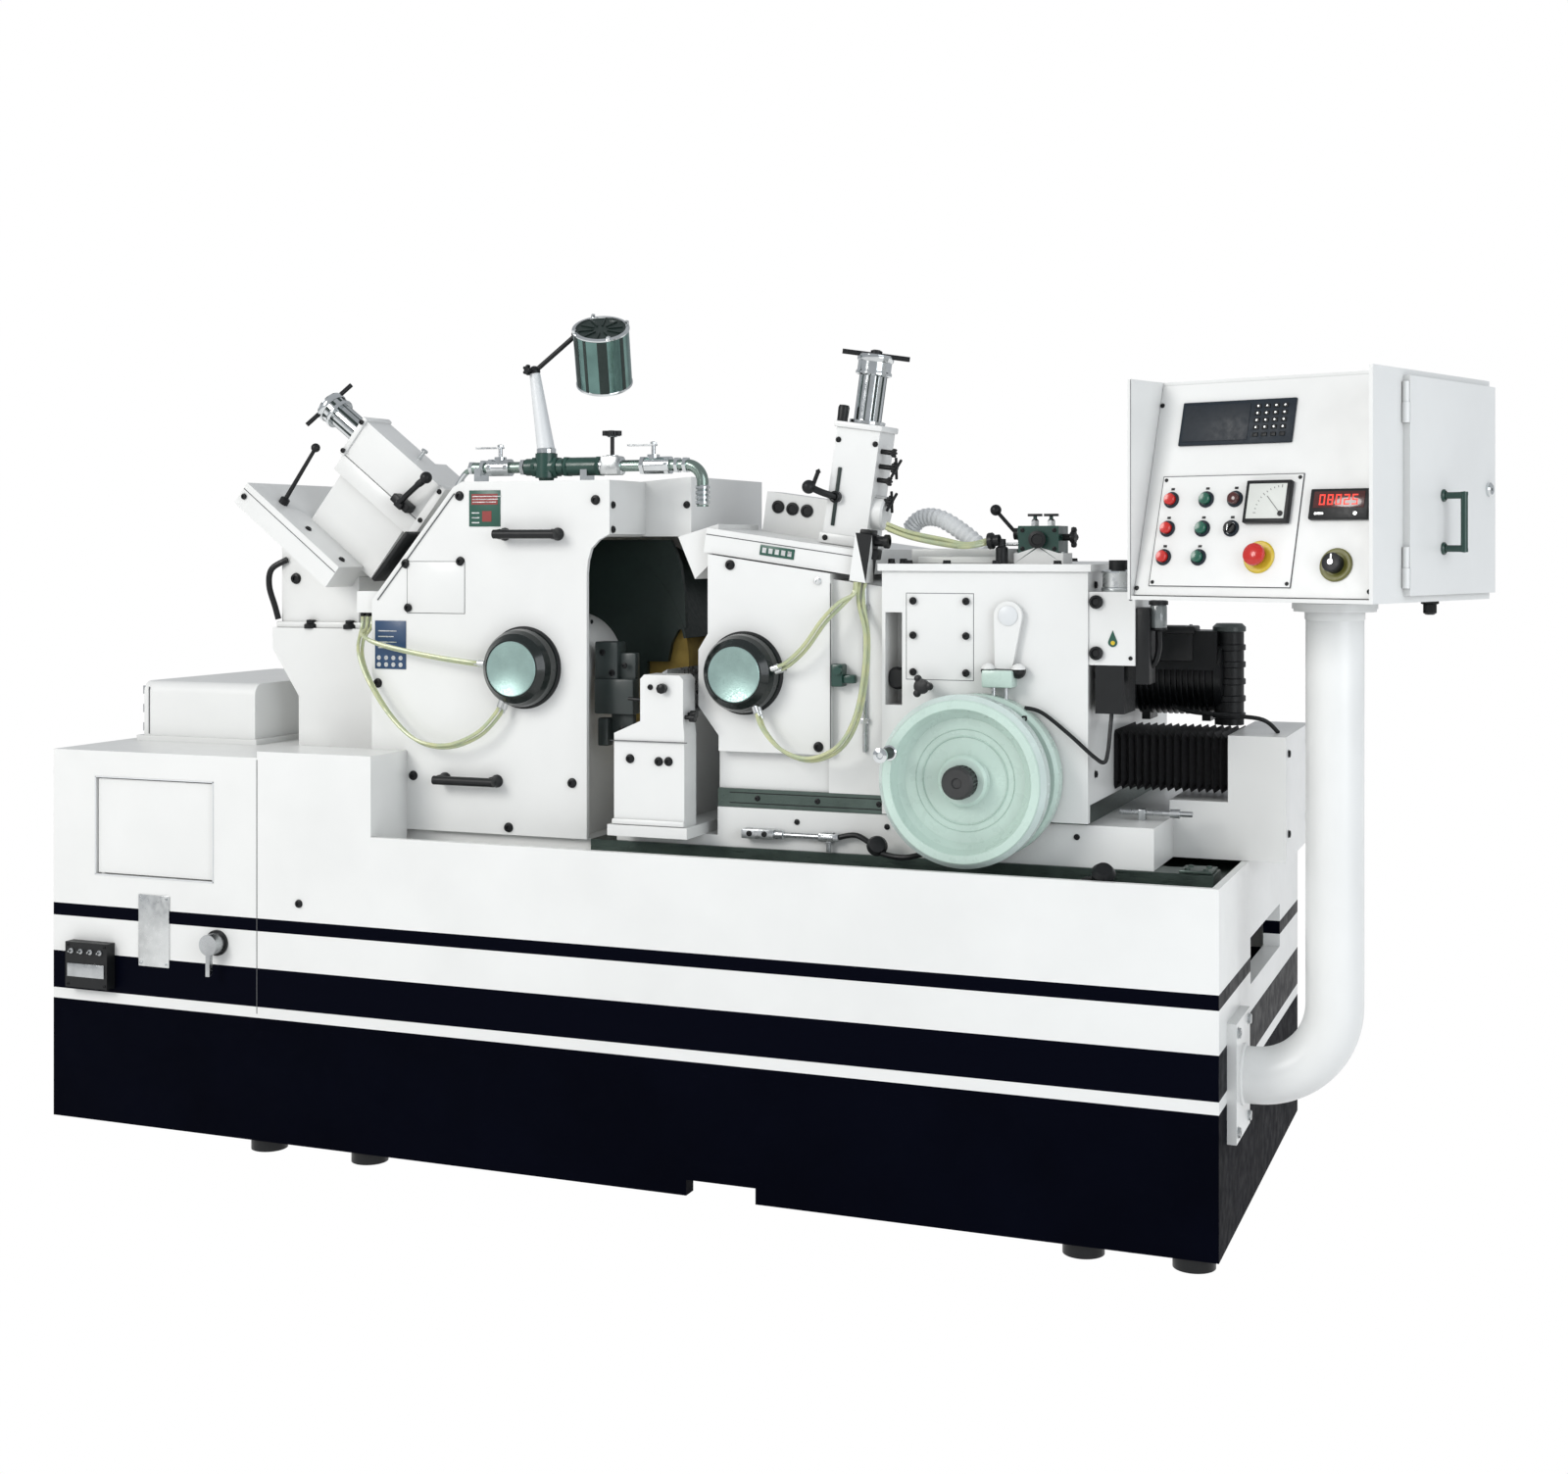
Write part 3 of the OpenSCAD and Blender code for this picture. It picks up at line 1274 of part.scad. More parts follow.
module pendant_panel() {
  half = pendant_w / 2 - sheet - panel_room;
  foot = sheet + plate_t * tan(panel_lean) + panel_room;
  at_panel() {
    difference() {
      union() {
        color("#f3f3ef") translate([-half, 0, foot])
          cube([2 * half, plate_t, panel_h - foot]);
        color("#fafaf7") on_panel(sub_u, sub_w, sub_t);
        color("#14202a") on_panel(display_u, display_w, display_t);
        color("#1a1c1e") on_panel(meter_u, meter_w, meter_t);
        color("#1a1c1e") on_panel(counter_u, counter_w, counter_t);
        color("#8c9092")
          for (u = [column_u[0], column_u[1]], w = row_w) disc_at([u, w], bezel_r, [0, bezel_h]);
        color("#5a1d18") disc_at([column_u[2], row_w[2]], button_r, [0, bezel_h + button_h]);
        color("#8c9092") disc_at([column_u[2], row_w[1]], bezel_r, [0, bezel_h]);
        color("#e9cf2c") disc_at(stop_at, stop_ring_r, [0, bezel_h]);
        color("#6f6e2c") disc_at(knob_at, speed_ring_r, [0, bezel_h]);
      }
      for (u = [column_u[0], column_u[1]], w = row_w) {
        disc_at([u, w], button_stem_r + run_gap, [-over - plate_t, over]);
        disc_at([u, w], button_r + slide_gap, [bezel_h - button_travel - sub_t / 2, over]);
      }
      disc_at([column_u[2], row_w[1]], button_stem_r + run_gap, [-over - plate_t, over]);
      disc_at(stop_at, button_stem_r + run_gap, [-over - plate_t, over]);
      disc_at(knob_at, button_stem_r + run_gap, [-over - plate_t, over]);
    }
  }
}

// A push button: a cap in its bezel and a stem through the plate
module push_button(p, tint)
  color(tint) at_panel() {
    disc_at(p, button_r, [bezel_h, bezel_h + button_h]);
    disc_at(p, button_stem_r, [-button_back, bezel_h + button_h / 2]);
  }
module red_button_1() push_button([column_u[0], row_w[2]], "#c8201e");
module red_button_2() push_button([column_u[0], row_w[1]], "#c8201e");
module red_button_3() push_button([column_u[0], row_w[0]], "#c8201e");
module green_button_1() push_button([column_u[1], row_w[2]], "#1f5c46");
module green_button_2() push_button([column_u[1], row_w[1]], "#1f5c46");
module green_button_3() push_button([column_u[1], row_w[0]], "#1f5c46");

module selector_switch()
  color("#17181a") at_panel() {
    p = [column_u[2], row_w[1]];
    disc_at(p, button_r, [bezel_h + slide_gap, bezel_h + button_h]);
    disc_at(p, button_stem_r, [-button_back, bezel_h + button_h / 2]);
    translate([p[0], -bezel_h - button_h, p[1]]) rotate([0, 40, 0])
      translate([-button_stem_r / 2, -button_h / 2, -button_r]) cube([button_stem_r, button_h, 2 * button_r]);
  }

module emergency_stop()
  color("#c41c1a") at_panel() {
    disc_at(stop_at, button_stem_r * 2, [bezel_h + stop_travel + slide_gap, bezel_h + stop_h - bolt_r]);
    disc_at(stop_at, stop_r, [bezel_h + stop_h - 2 * bolt_r, bezel_h + stop_h]);
    disc_at(stop_at, button_stem_r, [-button_back, bezel_h + stop_h / 2]);
  }

module speed_knob()
  color("#141516") at_panel() {
    disc_at(knob_at, speed_r, [bezel_h + slide_gap, bezel_h + speed_h]);
    disc_at(knob_at, button_stem_r, [-button_back, bezel_h + speed_h / 2]);
  }

module pendant_door()
  at_door() {
    color("#efefeb")
      difference() {
        translate([slide_gap, door_v[0], pdoor_z[0]])
          cube([pdoor_t, door_v[1] - door_v[0], pdoor_z[1] - pdoor_z[0]]);
        for (z = hinge_spans)
          translate([hinge_at[0], hinge_at[1], z[0] - slide_gap])
            cylinder(r = hinge_r + slide_gap, h = (z[1] - z[0]) / 2 + slide_gap);
      }
    color("#c8cbca")
      for (z = hinge_spans) {
        translate([hinge_at[0], hinge_at[1], (z[0] + z[1]) / 2])
          cylinder(r = pdoor_t / 2 - slide_gap, h = (z[1] - z[0]) / 2);
        translate([hinge_at[0], hinge_at[1], z[0]]) cylinder(r = hinge_pin_r, h = z[1] - z[0]);
      }
    color("#24443a") translate([slide_gap + pdoor_t, grip_v, 0]) {
      translate([grip_off, 0, grip_z[0]]) cylinder(r = grip_r, h = grip_z[1] - grip_z[0]);
      for (z = [grip_z[0] + grip_r, grip_z[1] - grip_r])
        translate([0, 0, z]) rotate([0, 90, 0]) cylinder(r = grip_r, h = grip_off);
    }
  }

base_tank();
base_frame();
levelling_feet();
left_cabinet();
cabinet_door();
cabinet_box();
switch_box();
isolator_lever();
wheelhead();
guard_shell();
guard_cover();
guard_handles();
grinding_wheel();
grinding_spindle();
grinding_cap();
grinding_hoses();
belt_guard();
coolant_line();
valve_lever_left();
valve_lever_right();
valve_knob();
lamp_arm();
lamp_head();
left_dresser_base();
left_dresser_body();
left_dresser_quill();
bed_ways();
lower_slide();
workrest();
work_blade();
slide_way();
slide_box();
infeed_lever();
handwheel();
hydraulic_valve();
hydraulic_lever();
lube_unit();
feed_motor();
bellows();
regulating_housing();
regulating_wheel();
regulating_spindle();
regulating_cap();
regulating_hoses();
right_dresser_base();
right_dresser_body();
right_dresser_quill();
pendant_arm();
pendant_box();
pendant_panel();
pendant_door();
red_button_1();
red_button_2();
red_button_3();
green_button_1();
green_button_2();
green_button_3();
selector_switch();
emergency_stop();
speed_knob();
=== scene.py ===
import bpy, bmesh, json, math
from itertools import product
from mathutils import Matrix, Vector

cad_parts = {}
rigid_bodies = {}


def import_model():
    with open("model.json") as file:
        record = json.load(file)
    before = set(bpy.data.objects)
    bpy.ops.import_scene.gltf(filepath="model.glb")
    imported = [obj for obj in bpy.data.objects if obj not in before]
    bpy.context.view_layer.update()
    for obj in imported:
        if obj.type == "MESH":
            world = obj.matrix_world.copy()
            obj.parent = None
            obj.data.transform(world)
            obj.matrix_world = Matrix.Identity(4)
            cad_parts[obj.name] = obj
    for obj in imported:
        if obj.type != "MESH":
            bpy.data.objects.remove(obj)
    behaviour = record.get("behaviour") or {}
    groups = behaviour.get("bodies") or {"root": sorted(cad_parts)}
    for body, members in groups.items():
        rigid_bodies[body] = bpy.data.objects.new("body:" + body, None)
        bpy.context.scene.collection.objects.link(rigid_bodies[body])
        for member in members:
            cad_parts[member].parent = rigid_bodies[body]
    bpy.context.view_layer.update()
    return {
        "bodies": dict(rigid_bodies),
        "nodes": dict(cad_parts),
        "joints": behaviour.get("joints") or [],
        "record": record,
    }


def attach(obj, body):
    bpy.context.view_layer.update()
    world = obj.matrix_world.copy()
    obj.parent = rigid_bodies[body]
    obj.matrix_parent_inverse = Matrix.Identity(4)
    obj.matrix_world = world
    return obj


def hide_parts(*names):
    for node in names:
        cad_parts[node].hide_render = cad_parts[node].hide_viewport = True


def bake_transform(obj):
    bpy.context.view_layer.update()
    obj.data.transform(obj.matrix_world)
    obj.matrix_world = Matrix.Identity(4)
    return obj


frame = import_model()
nodes = frame["nodes"]

# Camera: level, with the horizon raised in the frame by the lens shift
CAMERA_AT = (2.201, -4.828, 1.506)
CAMERA_TURN = math.radians(21.52)
FRAME_W, FRAME_H = 1600, 1504
FOCAL_PX = 2074.1
HORIZON_PX = 557.2


def add_camera():
    data = bpy.data.cameras.new("camera")
    data.sensor_width = 36.0
    data.lens = FOCAL_PX * 36.0 / FRAME_W
    data.shift_y = (HORIZON_PX - FRAME_H / 2) / FRAME_W
    data.clip_end = 100.0
    cam = bpy.data.objects.new("camera", data)
    cam.location = CAMERA_AT
    cam.rotation_euler = (math.radians(90), 0, CAMERA_TURN)
    bpy.context.scene.collection.objects.link(cam)
    bpy.context.scene.camera = cam


add_camera()


# Materials
def new_material(name):
    material = bpy.data.materials.new(name)
    material.use_nodes = True
    tree = material.node_tree
    return material, tree, tree.nodes["Principled BSDF"]


def wire(tree, node, values):
    """Sets inputs of a node, each to a value or to an output of another node."""
    for key, value in values.items():
        if isinstance(value, bpy.types.NodeSocket):
            tree.links.new(value, node.inputs[key])
        else:
            node.inputs[key].default_value = value


def add_node(tree, kind, values, **settings):
    """Adds a node and gives back its outputs."""
    node = tree.nodes.new("ShaderNode" + kind)
    for key, value in settings.items():
        setattr(node, key, value)
    wire(tree, node, values)
    return node.outputs


def object_point(tree):
    return add_node(tree, "TexCoord", {})["Object"]


def noise(tree, scale, detail=3.0, stretch=None):
    point = object_point(tree)
    if stretch:
        point = add_node(tree, "Mapping", {"Vector": point, "Scale": stretch})["Vector"]
    return add_node(tree, "TexNoise", {"Vector": point, "Scale": scale, "Detail": detail})["Fac"]


def ramp(tree, fac, low, high, a, b):
    return add_node(tree, "MapRange", {"Value": fac, "From Min": low, "From Max": high,
                                       "To Min": a, "To Max": b})["Result"]


def cloud(tree, scale, detail, low=0.35, high=0.7):
    return ramp(tree, noise(tree, scale, detail), low, high, 0.0, 1.0)


def mix(tree, fac, a, b):
    a, b = (c if isinstance(c, bpy.types.NodeSocket) else (*c, 1.0) for c in (a, b))
    return add_node(tree, "Mix", {0: fac, 6: a, 7: b}, data_type="RGBA")[2]


def bump(tree, shader, height, strength, distance):
    lumps = {"Height": height, "Strength": strength, "Distance": distance}
    wire(tree, shader, {"Normal": add_node(tree, "Bump", lumps)["Normal"]})


def shade(colour, k):
    return tuple(c * k for c in colour)


def painted_corner_shade(tree, colour, dark):
    """Darkens the corners and recesses with painted shade."""
    corners = add_node(tree, "AmbientOcclusion", {"Distance": 0.05}, samples=4)["AO"]
    return mix(tree, ramp(tree, corners, 0.35, 0.95, 1.0, 0.0), colour, dark)


def painted(name, colour, rough=0.36, mottle=0.05, coat=0.25, shine=0.5):
    material, tree, shader = new_material(name)
    tone = mix(tree, cloud(tree, 4.0, 5.0, 0.35, 0.68), colour, shade(colour, 1.0 - mottle))
    wire(tree, shader, {
        # The colour falls to 0.72 of itself in corners: painted shade.
        "Base Color": painted_corner_shade(tree, tone, shade(colour, 0.72)),
        "Roughness": ramp(tree, noise(tree, 35.0), 0.3, 0.7, rough - 0.05, rough + 0.09),
        "Coat Weight": coat, "Coat Roughness": 0.18, "Specular IOR Level": shine})
    bump(tree, shader, noise(tree, 420.0, 2.0), 0.06, 0.0006)
    return material


def metal(name, colour, rough=0.3, grain=(1, 1, 1), scale=60.0, depth=0.15):
    material, tree, shader = new_material(name)
    streak = noise(tree, scale, 3.0, grain)
    wire(tree, shader, {
        "Base Color": mix(tree, cloud(tree, 14.0, 6.0, 0.4, 0.72), colour, shade(colour, 0.75)),
        "Roughness": ramp(tree, streak, 0.3, 0.7, rough * 0.7, rough * 1.4), "Metallic": 1.0})
    bump(tree, shader, streak, depth, 0.0003)
    return material


def moulded(name, colour, rough=0.45, grain=900.0, depth=0.12, mottle=0.15, coat=0.0, shine=0.5):
    material, tree, shader = new_material(name)
    wire(tree, shader, {
        "Base Color": mix(tree, cloud(tree, 25.0, 4.0), colour, shade(colour, 1.0 - mottle)),
        "Roughness": ramp(tree, noise(tree, 80.0), 0.3, 0.7, rough - 0.06, rough + 0.08),
        "Coat Weight": coat, "Specular IOR Level": shine})
    bump(tree, shader, noise(tree, grain, 2.0), depth, 0.0004)
    return material


def banded(name, colour, dark, bands):
    """White machine paint with dark bands between the given heights."""
    material = painted(name, colour)
    tree = material.node_tree
    shader = tree.nodes["Principled BSDF"]
    tone = shader.inputs["Base Color"].links[0].from_socket
    height = add_node(tree, "SeparateXYZ", {0: object_point(tree)})["Z"]

    def maths(operation, a, b):
        return add_node(tree, "Math", {0: a, 1: b}, operation=operation)[0]

    any_band = 0.0
    for low, high in bands:
        band = maths("MULTIPLY", maths("GREATER_THAN", height, low), maths("LESS_THAN", height, high))
        tone = mix(tree, band, tone, dark)
        any_band = maths("MAXIMUM", any_band, band)
    wire(tree, shader, {"Base Color": tone, "Coat Weight": ramp(tree, any_band, 0.0, 1.0, 0.25, 0.0),
                        "Specular IOR Level": ramp(tree, any_band, 0.0, 1.0, 0.5, 0.02)})
    return material


WHITE = (0.86, 0.865, 0.85)
COOL_WHITE = (0.78, 0.80, 0.81)
INK = (0.0015, 0.002, 0.006)
BANDS = ((0.362, 0.458), (0.550, 0.582))

white = painted("white_paint", WHITE)
cool = painted("cool_white_paint", COOL_WHITE, mottle=0.07)
ink = painted("black_paint", INK, rough=0.55, coat=0.0, mottle=0.3, shine=0.02)
base_bands = banded("base_paint", WHITE, INK, BANDS)
black = moulded("black_oxide", (0.008, 0.009, 0.010), rough=0.38, grain=500.0, shine=0.3)
plastic = moulded("black_plastic", (0.009, 0.010, 0.011), rough=0.42, shine=0.35)
steel = metal("turned_steel", (0.56, 0.58, 0.59), 0.28)
chrome = metal("chrome", (0.72, 0.75, 0.76), 0.12, depth=0.04)
pipe_green = metal("plated_pipe", (0.30, 0.38, 0.34), 0.24, depth=0.1)
iron = metal("oiled_iron", (0.11, 0.145, 0.13), 0.34, grain=(0.15, 6, 6), scale=120.0, depth=0.4)
stone = moulded("grinding_wheel_stone", (0.42, 0.29, 0.07), rough=0.85, grain=700.0, depth=0.9, mottle=0.35)
bond = moulded("rubber_bond", (0.030, 0.027, 0.022), rough=0.8, grain=700.0, depth=0.8, mottle=0.3)
rubber = moulded("bellows_rubber", (0.008, 0.008, 0.009), rough=0.6, grain=300.0, depth=0.3)
lamp_green = metal("lamp_shade", (0.16, 0.27, 0.25), 0.2, depth=0.05)
cap_dark = moulded("cap_enamel", (0.004, 0.009, 0.008), rough=0.2, coat=0.15)
cap_disc = metal("cap_disc", (0.38, 0.53, 0.50), 0.42, scale=240.0, depth=0.5)
mint = painted("mint_enamel", (0.60, 0.76, 0.68), rough=0.28, mottle=0.24)
# A paler mint for the handwheel's rim: partly paler paint, partly painted sheen.
pale_mint_rim_sheen = painted("pale_mint_rim_sheen", (0.68, 0.80, 0.76), rough=0.22, mottle=0.3)
valve_green = painted("valve_green", (0.012, 0.06, 0.045), rough=0.32, mottle=0.3)
red = moulded("red_plastic", (0.62, 0.02, 0.015), rough=0.22, coat=0.4)
green = moulded("green_plastic", (0.012, 0.12, 0.075), rough=0.25, coat=0.4)
yellow = moulded("yellow_plastic", (0.75, 0.55, 0.04), rough=0.3)
seam = moulded("seam_shadow", (0.10, 0.105, 0.11), rough=0.7)
tin = metal("bright_alloy", (0.74, 0.76, 0.76), 0.3, depth=0.08)
# Dark enamel; the wheel shroud and the lamp also use it for painted shade and painted reflections.
dark_enamel_and_shade = moulded("dark_enamel_and_painted_shade", (0.012, 0.026, 0.022), rough=0.5, grain=260.0, depth=0.3)
bracket_grey = painted("bracket_grey", (0.045, 0.06, 0.058), rough=0.4, mottle=0.35)
hub_dark = moulded("hub_knurl", (0.035, 0.036, 0.036), rough=0.5, grain=260.0, depth=0.4)
glass_grey = moulded("sight_glass_grey", (0.20, 0.22, 0.22), rough=0.12, coat=0.8)
display_dark = moulded("display_frame", (0.012, 0.020, 0.030), rough=0.5, shine=0.3)
display_glass = moulded("display_pane", (0.006, 0.012, 0.020), rough=0.5, grain=80.0, depth=0.02)
lens_brown = moulded("dark_red_lens", (0.075, 0.012, 0.010), rough=0.15, coat=0.7)
meter_white = moulded("meter_card", (0.74, 0.76, 0.72), rough=0.5, mottle=0.05)
olive = moulded("olive_ring", (0.16, 0.155, 0.03), rough=0.35)
plate_green = painted("plate_green", (0.012, 0.09, 0.06), rough=0.4, mottle=0.12)
plate_red = painted("plate_red", (0.28, 0.035, 0.03), rough=0.4, mottle=0.12)
plate_blue = painted("plate_blue", (0.012, 0.055, 0.14), rough=0.4, mottle=0.12)


def glowing(name, colour, strength):
    material, tree, shader = new_material(name)
    flicker = ramp(tree, noise(tree, 900.0), 0.3, 0.7, strength * 0.8, strength * 1.1)
    wire(tree, shader, {"Base Color": (*colour, 1.0), "Emission Color": (*colour, 1.0),
                        "Emission Strength": flicker})
    return material


led_red = glowing("lit_red", (0.9, 0.05, 0.03), 0.9)


def hose_material():
    material, tree, shader = new_material("clear_yellow_hose")
    tone = mix(tree, cloud(tree, 30.0, 3.0), (0.72, 0.74, 0.42), (0.56, 0.64, 0.42))
    wire(tree, shader, {"Base Color": tone, "Roughness": 0.18, "Transmission Weight": 0.25,
                        "Coat Weight": 0.5})
    bump(tree, shader, noise(tree, 200.0), 0.1, 0.001)
    return material


hose = hose_material()

NODE_MATERIALS = {name: material for material, names in (
    (white, "left_cabinet cabinet_door cabinet_box wheelhead guard_shell guard_cover belt_guard"
            " left_dresser_base left_dresser_body right_dresser_base right_dresser_body lower_slide workrest"
            " slide_box infeed_lever lube_unit regulating_housing pendant_arm pendant_box pendant_panel"
            " pendant_door"),
    (steel, "isolator_lever grinding_spindle regulating_spindle valve_lever_left valve_lever_right"
            " work_blade"),
    (plastic, "switch_box guard_handles valve_knob selector_switch speed_knob"),
    (black, "levelling_feet hydraulic_lever feed_motor"),
    (chrome, "left_dresser_quill right_dresser_quill"), (iron, "bed_ways slide_way"),
    (cap_dark, "grinding_cap regulating_cap"), (hose, "grinding_hoses regulating_hoses"),
    (ink, "base_tank"), (base_bands, "base_frame"), (stone, "grinding_wheel"), (bond, "regulating_wheel"),
    (pipe_green, "coolant_line"), (cool, "lamp_arm"), (lamp_green, "lamp_head"), (mint, "handwheel"),
    (valve_green, "hydraulic_valve"), (rubber, "bellows"),
    (red, "red_button_1 red_button_2 red_button_3 emergency_stop"),
    (green, "green_button_1 green_button_2 green_button_3"),
) for name in names.split()}
# Widths of the broken edges in metres, where they aren't EDGE
EDGE = 0.0015
SOFT_EDGE = {"grinding_hoses": 0, "regulating_hoses": 0, "base_frame": 0.004, "base_tank": 0.004,
             "left_cabinet": 0.004, "pendant_box": 0.003, "guard_cover": 0.003}


def dress(name):
    """Gives a CAD node its material and breaks its sharp edges."""
    node = nodes[name]
    node.data.materials.clear()
    node.data.materials.append(NODE_MATERIALS[name])
    width = SOFT_EDGE.get(name, EDGE)
    if width:
        bevel = node.modifiers.new("edge", "BEVEL")
        bevel.width = width
        bevel.segments = 2
        bevel.limit_method = "ANGLE"
        bevel.angle_limit = math.radians(50)
        bevel.harden_normals = True


for name in nodes:
    dress(name)


# The frames in which tilted pieces are built, the same as in the part's source
def frame_at(x, y, z, axis=None, degrees=0.0):
    turn = Matrix.Rotation(math.radians(degrees), 4, axis) if axis else Matrix()
    return Matrix.Translation((x, y, z)) @ turn


WORLD = Matrix()
LEFT_LEAN, RIGHT_LEAN, PANEL_LEAN, PENDANT_YAW = 38.0, 8.0, 15.0, 20.0
LEFT = frame_at(-0.677, 0, 1.703, "Y", LEFT_LEAN - 90)
RIGHT = frame_at(0.584, 0, 1.520, "Y", RIGHT_LEAN)
PENDANT = frame_at(1.710, -0.420, 0, "Z", -PENDANT_YAW)
PANEL = PENDANT @ frame_at(-0.062, -0.264, 1.393, "X", -PANEL_LEAN)
DOOR = PENDANT @ frame_at(0.214, -0.272, 1.393)
LAMP = frame_at(-0.028, -0.380, 1.968, "Y", 12) @ Matrix.Rotation(math.radians(30), 4, "X")
FRONT, BACK, UP, DOWN, ACROSS = (0, -1, 0), (0, 1, 0), (0, 0, 1), (0, 0, -1), (1, 0, 0)
# Front face of the guard and height of the wheel axes, in mm like every number in a piece below
FACE_Y = -450
AXIS_Z = 1210
MM = 0.001


def basis(axis):
    z = Vector(axis).normalized()
    x = z.orthogonal().normalized() if abs(z.z) > 0.9 else Vector((0, 0, 1)).cross(z).normalized()
    return x, z.cross(x), z


def smooth_line(points, steps):
    """A Catmull-Rom line through the points."""
    p = [Vector(q) for q in points]
    line = []
    for i in range(len(p) - 1):
        a, b, c, d = p[max(i - 1, 0)], p[i], p[i + 1], p[min(i + 2, len(p) - 1)]
        for k in range(steps):
            t = k / steps
            line.append((2 * b + (c - a) * t + (2 * a - 5 * b + 4 * c - d) * t * t
                         + (3 * b - a - 3 * c + d) * t ** 3) / 2)
    return line + [p[-1]]


def ring(bm, at, x, y, r, sides):
    """Vertices round a point, in the plane of x and y."""
    turns = (2 * math.pi * k / sides for k in range(sides))
    return [bm.verts.new(at + (x * math.cos(a) + y * math.sin(a)) * r) for a in turns]


def join(bm, rings, closed=True):
    """Puts faces between rings of vertices, of which the end ones may be a single point."""
    for low, high in zip(rings, rings[1:]):
        sides = max(len(low), len(high))
        for k in range(sides):
            n = (k + 1) % sides
            if len(low) == 1:
                bm.faces.new((low[0], high[n], high[k]))
            elif len(high) == 1:
                bm.faces.new((low[k], low[n], high[0]))
            else:
                bm.faces.new((low[k], low[n], high[n], high[k]))
    if closed:
        bm.faces.new(rings[0][::-1])
        bm.faces.new(rings[-1])


def add_mesh(bm, name, material):
    bmesh.ops.recalc_face_normals(bm, faces=bm.faces[:])
    mesh = bpy.data.meshes.new(name)
    bm.to_mesh(mesh)
    bm.free()
    mesh.materials.append(material)
    obj = bpy.data.objects.new(name, mesh)
    bpy.context.scene.collection.objects.link(obj)
    return obj


# Edges flatter than this many degrees are smoothed
SMOOTH_UP_TO = 35


class Piece:
    """A mesh in mm, put together from bevelled boxes, turned shapes and tubes in one frame."""

    def __init__(self, frame=WORLD):
        self.bm = bmesh.new()
        self.frame = frame

    def settle(self, verts):
        for v in verts:
            v.co = self.frame @ (v.co * MM)
        return self

    def box(self, x0, y0, z0, x1, y1, z1, edge=0.8, turn=None):
        """A box between two corners, with bevelled edges."""
        low, high = Vector((x0, y0, z0)), Vector((x1, y1, z1))
        made = bmesh.ops.create_cube(self.bm, size=1.0)["verts"]
        spin = turn or Matrix()
        for v in made:
            v.co = Vector(v.co[i] * (high[i] - low[i]) for i in range(3))
        if edge:
            edges = list({e for v in made for e in v.link_edges})
            made = bmesh.ops.bevel(self.bm, geom=edges + made, offset=edge, segments=2, affect="EDGES",
                                   profile=0.5, clamp_overlap=True)["verts"]
        for v in made:
            v.co = (low + high) / 2 + (spin @ v.co)
        return self.settle(made)

    def turned(self, at, axis, profile, sides=24):
        """A shape turned about an axis, with a profile of radius, height, radius, height and so on.

        A tuple in place of a coordinate repeats the shape at each of its values.
        """
        for spot in product(*(c if isinstance(c, tuple) else (c,) for c in at)):
            self.turn_one(Vector(spot), axis, profile, sides)
        return self

    def turn_one(self, at, axis, profile, sides):
        x, y, z = basis(axis)
        rings = [ring(self.bm, at + z * height, x, y, r, sides if r > 0 else 1)
                 for r, height in zip(profile[::2], profile[1::2])]
        join(self.bm, rings, False)
        return self.settle(sum(rings, []))

    def tube(self, points, r, sides=10, steps=6, ribs=0.0):
        line = smooth_line(points, steps)
        side = None
        rings = []
        for i, p in enumerate(line):
            t = (line[min(i + 1, len(line) - 1)] - line[max(i - 1, 0)]).normalized()
            side = basis(t)[0] if side is None else (side - t * side.dot(t)).normalized()
            rings.append(ring(self.bm, p, side, t.cross(side), r * (1 + ribs * (i % 2)), sides))
        join(self.bm, rings)
        return self.settle(sum(rings, []))

    def prism(self, outline, y, axis=1):
        """An outline in the two other axes, given a depth along one axis."""
        def spot(p, d):
            q = [p[0], p[1]]
            q.insert(axis, d)
            return self.bm.verts.new(q)
        ends = [[spot(p, d) for p in outline] for d in y]
        join(self.bm, ends)
        return self.settle(ends[0] + ends[1])

    def screw(self, at, axis, r=9, out=0.6):
        """A cap screw with a socket."""
        h = r * out
        return self.turned(at, axis, (r * 1.15, 0, r * 1.15, h * 0.15, r, h * 0.2, r, h * 0.85, r * 0.85, h,
                                      r * 0.5, h, r * 0.45, h * 0.4, 0, h * 0.4), 16)

    def star(self, at, axis, r, t, lobes=5):
        """A star knob with a hub."""
        x, y, z = basis(axis)
        at = Vector(at)
        self.turned(at, axis, (0, 0, r * 0.45, 0, r * 0.62, t * 0.2, r * 0.62, t * 0.8, 0, t), 16)
        for k in range(lobes):
            a = 2 * math.pi * k / lobes
            spot = at + (x * math.cos(a) + y * math.sin(a)) * r * 0.68
            self.turned(spot, axis, (0, t * 0.1, r * 0.26, t * 0.2, r * 0.32, t * 0.5, r * 0.26, t * 0.85,
                                     0, t), 12)
        return self

    def ball(self, at, r):
        arc = [0, -r]
        for k in range(1, 10):
            arc += [r * math.sin(math.pi * k / 10), -r * math.cos(math.pi * k / 10)]
        return self.turned(at, UP, arc + [0, r], 20)

    def done(self, name, body, material):
        obj = add_mesh(self.bm, name, material)
        for face in obj.data.polygons:
            face.use_smooth = True
        obj.data.set_sharp_from_angle(angle=math.radians(SMOOTH_UP_TO))
        if body:
            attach(obj, body)
        return obj


# Faces of the CAD pieces that have a colour of their own
def paint(name, material, test, frame):
    """Gives the faces that pass the test, on their middle in mm and their normal, another material."""
    mesh = nodes[name].data
    mesh.materials.append(material)
    index = len(mesh.materials) - 1
    back = frame.inverted()
    for face in mesh.polygons:
        if test(back @ face.center / MM, back.to_3x3() @ face.normal):
            face.material_index = index


def between(v, low, high):
    return low <= v <= high


def near(q, x, z, r):
    return math.hypot(q.x - x, q.z - z) < r


def on_pipe(q, r):
    """Whether a point stands out from the pipe of the coolant line."""
    return math.hypot(q.y - LINE_Y, q.z - LINE_Z) > r


